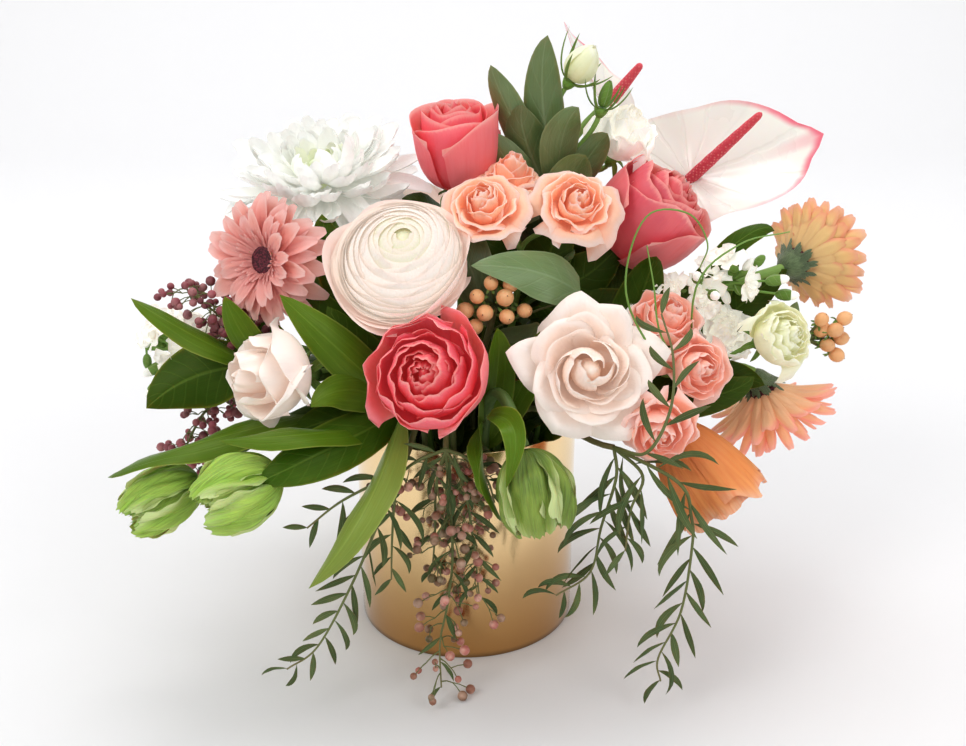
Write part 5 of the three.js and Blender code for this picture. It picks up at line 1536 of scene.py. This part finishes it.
def hypericum(name, mouth, fork, axis, berries, leaves):
    """Smooth berries on a forked twig, each in a ring of small sepals."""
    form = Form(name)
    fork = np.array(fork, float)
    path = stem_path(mouth, fork, axis)
    form.tube(path, 1.8, 8)
    radius = size("hypericum_berry") / 2
    for at in np.array(berries, float):
        out = unit(at - fork + (0, -2, 1))
        foot = at - out * radius
        form.tube(bezier((fork, lerp(fork, foot, 0.5), foot - out * 3, foot), 6), 0.8, 6)
        ball(form, at, out, radius * form.draw.uniform(0.85, 1.05), 1.12, slot=1, sides=18)
        green_cup(form, Seat(foot + out * 0.8, out), 1.6, 1.6, 5, 4.5, slot=2)
    leaves_on(form, path, leaves, 3)
    form.piece(name + "_spray", "hypericum", name, "twig", "hypericum berry", "green cup",
               "grey green leaf")


HYPERICUMS = {
    "hypericum_centre": dict(
        mouth=(INNER, -80), fork=(16, -44, 203), axis=(0.1, -0.3, 1),
        berries=((7, -60, 212), (14, -60, 219), (21, -62, 212), (11, -62, 204), (22, -62, 202),
                 (24, -58, 218), (31, -58, 204), (6, -60, 196), (1, -58, 204)),
        leaves=[blade(0.9, (36, -57, 224), (4, -64, 229), 27, (0.1, -0.8, 0.6), (60, -50, 210),
                      fold=-0.15, widest=0.34),
                blade(0.92, (0, -32, 230), (-12, -10, 252), 26),
                blade(0.9, (42, -58, 184), (54, -62, 208), 28, (0, -1, 0))]),
    "hypericum_right": dict(
        mouth=(OUTER, 15), fork=(188, -14, 174), axis=(0.85, -0.5, 0.15),
        berries=((194, -20, 187), (202, -20, 181), (207, -18, 187), (199, -19, 172),
                 (205, -18, 166), (207, -16, 175), (196, -16, 180)),
        leaves=[blade(0.97, (178, -17, 184), (180, -19, 197), 12, (-0.3, -1, 0))]),
}


def greens(name, mouth, end, axis, leaves, finish="broad leaf"):
    """Broad leaves on one stem."""
    form = Form(name)
    path = stem_path(mouth, end, axis)
    form.tube(path, 2.0, 10)
    leaves_on(form, path, leaves, 1)
    form.piece(name + "_leaves", "leaf", name, "stem", finish, "tulip leaf", "leaf in painted light")


GREENS = {
    "greens_left": dict(
        mouth=(MIDDLE, 180), end=(-116, -46, 170), axis=(-0.9, -0.3, 0.3),
        leaves=[
            blade(0.97, (-140, -58, 192), (-168, -56, 210), 17, (0.3, -0.5, 1), slot=2, wave=0.6),
            blade(0.97, (-142, -46, 164), (-168, -52, 148), 38, (0.2, -1, 0.5)),
            blade(0.94, (-112, -60, 192), (-118, -66, 214), 17, slot=2, wave=0.6),
            blade(0.9, (-112, -30, 178), (-132, -24, 196), 30, RAISED),
        ]),
    "greens_front": dict(
        mouth=(MIDDLE, -120), end=(-33, -62, 150), axis=(-0.3, -0.8, 0.4),
        leaves=[
            blade(0.96, (-60, -72, 186), (-90, -70, 216), 24, (0.3, -1, 0.3), slot=2, wave=0.8),
            blade(0.98, (-56, -76, 168), (-74, -94, 166), 22, (0, -1, 0.6), slot=2),
            # Slot 3 gives this hanging leaf the lighter green, as painted light
            blade(0.99, (-46, -112, 122), (-76, -120, 80), 21, (-0.5, -0.9, 0.4), slot=3,
                  fold=-0.5),
            blade(0.93, (-52, -56, 178), (-70, -50, 204), 26, (0.2, -1, 0.2)),
            blade(0.9, (-60, -66, 150), (-92, -70, 140), 26, (0, -1, 0.6)),
            blade(0.93, (-62, -36, 212), (-74, -24, 246), 26, (0.3, -1, 0.2)),
            blade(0.9, (-66, -100, 146), (-100, -113, 134), 28, (0, -1, 0.5), wave=0.8),
            blade(0.92, (-70, -46, 190), (-90, -40, 212), 30),
        ]),
    "greens_back": dict(
        mouth=(OUTER, 90), end=(4, 74, 168), axis=(0, 0.7, 0.7), finish="dark leaf with painted shade",
        leaves=[
            blade(0.88, (-46, 92, 164), (-92, 112, 152), 34, (-0.2, 0.3, 1)),
            blade(0.92, (-60, 80, 184), (-112, 86, 200), 34, (-0.2, 0.6, 0.8)),
            blade(0.9, (10, 104, 156), (14, 138, 128), 36, (0, 0.6, 0.8)),
            blade(0.86, (60, 90, 158), (108, 106, 148), 34, (0.2, 0.3, 1)),
            blade(0.98, (8, 110, 186), (6, 132, 206), 28, (0, -0.4, 1)),
            blade(0.95, (70, 68, 176), (118, 70, 192), 32, (0.2, 0.5, 0.8)),
        ]),
}


# The vase and the stage


def vase():
    """A thin walled cylinder with a rounded rim, and the water's finish."""
    form = Form(1)
    inner, edge = VASE_RADIUS - size("vase_wall"), 0.5
    bend = [(edge * math.cos(a), edge * math.sin(a)) for a in np.radians(np.linspace(0, 90, 5))]
    foot = [(VASE_RADIUS - edge + s, edge - c) for c, s in bend]
    lip = [(VASE_RADIUS - edge + c, VASE_TOP - edge + s) for c, s in bend]
    inner_lip = [(inner + edge - s, VASE_TOP - edge + c) for c, s in bend]
    form.turned([(0, 0), (VASE_RADIUS - 4, 0), *foot, (VASE_RADIUS, 60), *lip, *inner_lip,
                 (inner, 60), (inner, VASE_FLOOR), (0, VASE_FLOOR)], sides=144)
    form.piece("vase_body", "vase", "vase", "satin gold")
    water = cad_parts["water"]
    water.data.materials.clear()
    water.data.materials.append(finish_named("water"))


def backdrop():
    """A floor that curves up into a wall behind the arrangement, in metres."""
    front, back, bend, top, side = -2.5, 1.6, 1.2, 4, 4
    angles = np.linspace(0, math.pi / 2, 24)
    curve = [(back + bend * math.sin(a), bend - bend * math.cos(a)) for a in angles]
    profile = [(front, 0), (0, 0), *curve, (back + bend, top)]
    points = [(x, y, z) for x in (-side, side) for y, z in profile]
    mesh = bpy.data.meshes.new("backdrop")
    columns = len(profile)
    faces = [(k, k + 1, columns + k + 1, columns + k) for k in range(columns - 1)]
    mesh.from_pydata(points, [], faces)
    mesh.shade_smooth()
    mesh.materials.append(finish_named("pale floor"))
    floor = bpy.data.objects.new("backdrop", mesh)
    bpy.context.scene.collection.objects.link(floor)


def lamp(name, at, width, watts, colour=(1, 1, 1), aim=(0, 0, 0.15)):
    """A soft round light, with its places in metres."""
    light = bpy.data.lights.new(name, "AREA")
    light.shape, light.size, light.energy, light.color = "DISK", width, watts, colour
    holder = bpy.data.objects.new(name, light)
    holder.location = at
    holder.rotation_euler = (Vector(aim) - Vector(at)).to_track_quat("-Z", "Y").to_euler()
    bpy.context.scene.collection.objects.link(holder)


def studio(scene):
    """Soft light from the front, from above and onto the wall behind."""
    world = bpy.data.worlds.new("studio")
    world.use_nodes = True
    sky = world.node_tree.nodes["Background"].inputs
    sky["Color"].default_value = (1.0, 1.0, 1.0, 1)
    sky["Strength"].default_value = 0.62
    scene.world = world
    view = scene.view_settings
    view.view_transform, view.exposure, view.gamma = "Standard", 0.13, 0.9
    lamp("window", (-2.4, -2.4, 3.0), 1.9, 42, (1.0, 0.985, 0.965))
    lamp("fill", (2.4, -2.4, 2.4), 2.0, 24)
    lamp("top", (0.0, 0.6, 3.2), 2.2, 30)
    for side in (-1.2, 1.2):
        lamp("wall wash", (side, 0.6, 2.4), 1.4, 7, aim=(side * 1.4, 2.8, 0.6))


def camera(scene):
    """The photograph's view, from the front and a little above."""
    camera = bpy.data.cameras.new("camera")
    camera.lens, camera.sensor_width = LENS, SENSOR
    camera.clip_start = 0.01
    holder = bpy.data.objects.new("camera", camera)
    away = CAMERA_DISTANCE * MILLIMETRE
    aim = Vector(CAMERA_AIM) * MILLIMETRE
    holder.location = aim + away * Vector((0, -math.cos(CAMERA_TILT), math.sin(CAMERA_TILT)))
    holder.rotation_euler = (math.pi / 2 - CAMERA_TILT, 0, 0)
    scene.collection.objects.link(holder)
    scene.camera = holder


# Operators: one for each piece or group of like pieces, and one for the stage


def each(build, shapes):
    """Builds every shape of a table under its own name."""
    for name, shape in shapes.items():
        build(name, **shape)
    return {"FINISHED"}


class CENTERPIECE_OT_vase(bpy.types.Operator):
    """Turn the gold cylinder vase and fill it with water"""

    bl_idname = "centerpiece.vase"
    bl_label = "Vase"

    def execute(self, context):
        vase()
        return {"FINISHED"}


class CENTERPIECE_OT_garden_roses(bpy.types.Operator):
    """Build the coral and blush garden roses and their stems"""

    bl_idname = "centerpiece.garden_roses"
    bl_label = "Garden Roses"

    def execute(self, context):
        for name, bloom in GARDEN_ROSES.items():
            stemmed_bloom(name, bloom)
        return {"FINISHED"}


class CENTERPIECE_OT_ranunculus(bpy.types.Operator):
    """Build the cream ranunculus with its many thin petals"""

    bl_idname = "centerpiece.ranunculus"
    bl_label = "Ranunculus"

    def execute(self, context):
        stemmed_bloom("ranunculus", RANUNCULUS, ball_head)
        return {"FINISHED"}


class CENTERPIECE_OT_chrysanthemum(bpy.types.Operator):
    """Build the white chrysanthemum"""

    bl_idname = "centerpiece.chrysanthemum"
    bl_label = "Chrysanthemum"

    def execute(self, context):
        chrysanthemum()
        return {"FINISHED"}


class CENTERPIECE_OT_gerberas(bpy.types.Operator):
    """Build the three gerberas"""

    bl_idname = "centerpiece.gerberas"
    bl_label = "Gerberas"

    def execute(self, context):
        return each(gerbera, GERBERAS)


class CENTERPIECE_OT_spray_roses(bpy.types.Operator):
    """Build the peach spray roses on their branching stem"""

    bl_idname = "centerpiece.spray_roses"
    bl_label = "Spray Roses"

    def execute(self, context):
        small_heads(SPRAY_ROSES)
        return each(branching_stem, SPRAY_ROSE_STEMS)


class CENTERPIECE_OT_lisianthus(bpy.types.Operator):
    """Build the salmon, white and cream lisianthus"""

    bl_idname = "centerpiece.lisianthus"
    bl_label = "Lisianthus"

    def execute(self, context):
        for heads in (SALMON_BLOOMS, TOP_BLOOMS, RIGHT_BLOOMS):
            small_heads(heads)
        return each(branching_stem, LISIANTHUS_STEMS)


class CENTERPIECE_OT_anthuriums(bpy.types.Operator):
    """Build the two white anthuriums"""

    bl_idname = "centerpiece.anthuriums"
    bl_label = "Anthuriums"

    def execute(self, context):
        return each(anthurium, ANTHURIUMS)


class CENTERPIECE_OT_poppy(bpy.types.Operator):
    """Build the orange poppy that nods at the right"""

    bl_idname = "centerpiece.poppy"
    bl_label = "Poppy"

    def execute(self, context):
        stemmed_bloom("poppy", POPPY)
        return {"FINISHED"}


class CENTERPIECE_OT_tulips(bpy.types.Operator):
    """Build the three green parrot tulips"""

    bl_idname = "centerpiece.tulips"
    bl_label = "Parrot Tulips"

    def execute(self, context):
        return each(tulip, TULIPS)


class CENTERPIECE_OT_stocks(bpy.types.Operator):
    """Build the white stock at both sides"""

    bl_idname = "centerpiece.stocks"
    bl_label = "Stock"

    def execute(self, context):
        return each(stock, STOCKS)


class CENTERPIECE_OT_hypericums(bpy.types.Operator):
    """Build the peach hypericum berries"""

    bl_idname = "centerpiece.hypericums"
    bl_label = "Hypericum"

    def execute(self, context):
        return each(hypericum, HYPERICUMS)


class CENTERPIECE_OT_pepper_sprays(bpy.types.Operator):
    """Build the pepper tree berries and foliage"""

    bl_idname = "centerpiece.pepper_sprays"
    bl_label = "Pepper Tree Sprays"

    def execute(self, context):
        return each(pepper_spray, PEPPER_SPRAYS)


class CENTERPIECE_OT_greens(bpy.types.Operator):
    """Build the broad leaves"""

    bl_idname = "centerpiece.greens"
    bl_label = "Greens"

    def execute(self, context):
        return each(greens, GREENS)


class CENTERPIECE_OT_stage(bpy.types.Operator):
    """Set the pale floor, the soft studio light and the photograph's camera"""

    bl_idname = "centerpiece.stage"
    bl_label = "Stage"

    def execute(self, context):
        backdrop()
        studio(context.scene)
        camera(context.scene)
        return {"FINISHED"}


OPERATORS = (
    CENTERPIECE_OT_vase, CENTERPIECE_OT_garden_roses, CENTERPIECE_OT_ranunculus,
    CENTERPIECE_OT_chrysanthemum, CENTERPIECE_OT_gerberas, CENTERPIECE_OT_spray_roses,
    CENTERPIECE_OT_lisianthus, CENTERPIECE_OT_anthuriums, CENTERPIECE_OT_poppy,
    CENTERPIECE_OT_tulips, CENTERPIECE_OT_stocks, CENTERPIECE_OT_hypericums,
    CENTERPIECE_OT_pepper_sprays, CENTERPIECE_OT_greens, CENTERPIECE_OT_stage,
)


class CENTERPIECE_PT_panel(bpy.types.Panel):
    """Lists the settings and the pieces."""

    bl_label = "Centerpiece"
    bl_space_type = "VIEW_3D"
    bl_region_type = "UI"
    bl_category = "Centerpiece"

    def draw(self, context):
        for settings in (context.scene.centerpiece_sizes, context.scene.centerpiece_colours):
            box = self.layout.box()
            for name in settings.__annotations__:
                box.prop(settings, name)
        for operator in OPERATORS:
            self.layout.operator(operator.bl_idname)


CLASSES = (CenterpieceSizes, CenterpieceColours, *OPERATORS, CENTERPIECE_PT_panel)


def register():
    for kind in CLASSES:
        bpy.utils.register_class(kind)
    bpy.types.Scene.centerpiece_sizes = bpy.props.PointerProperty(type=CenterpieceSizes)
    bpy.types.Scene.centerpiece_colours = bpy.props.PointerProperty(type=CenterpieceColours)


def unregister():
    del bpy.types.Scene.centerpiece_sizes
    del bpy.types.Scene.centerpiece_colours
    for kind in reversed(CLASSES):
        bpy.utils.unregister_class(kind)


def main():
    """Builds every piece and the stage."""
    register()
    for operator in OPERATORS:
        group, name = operator.bl_idname.split(".")
        getattr(getattr(bpy.ops, group), name)()


if __name__ == "__main__":
    main()
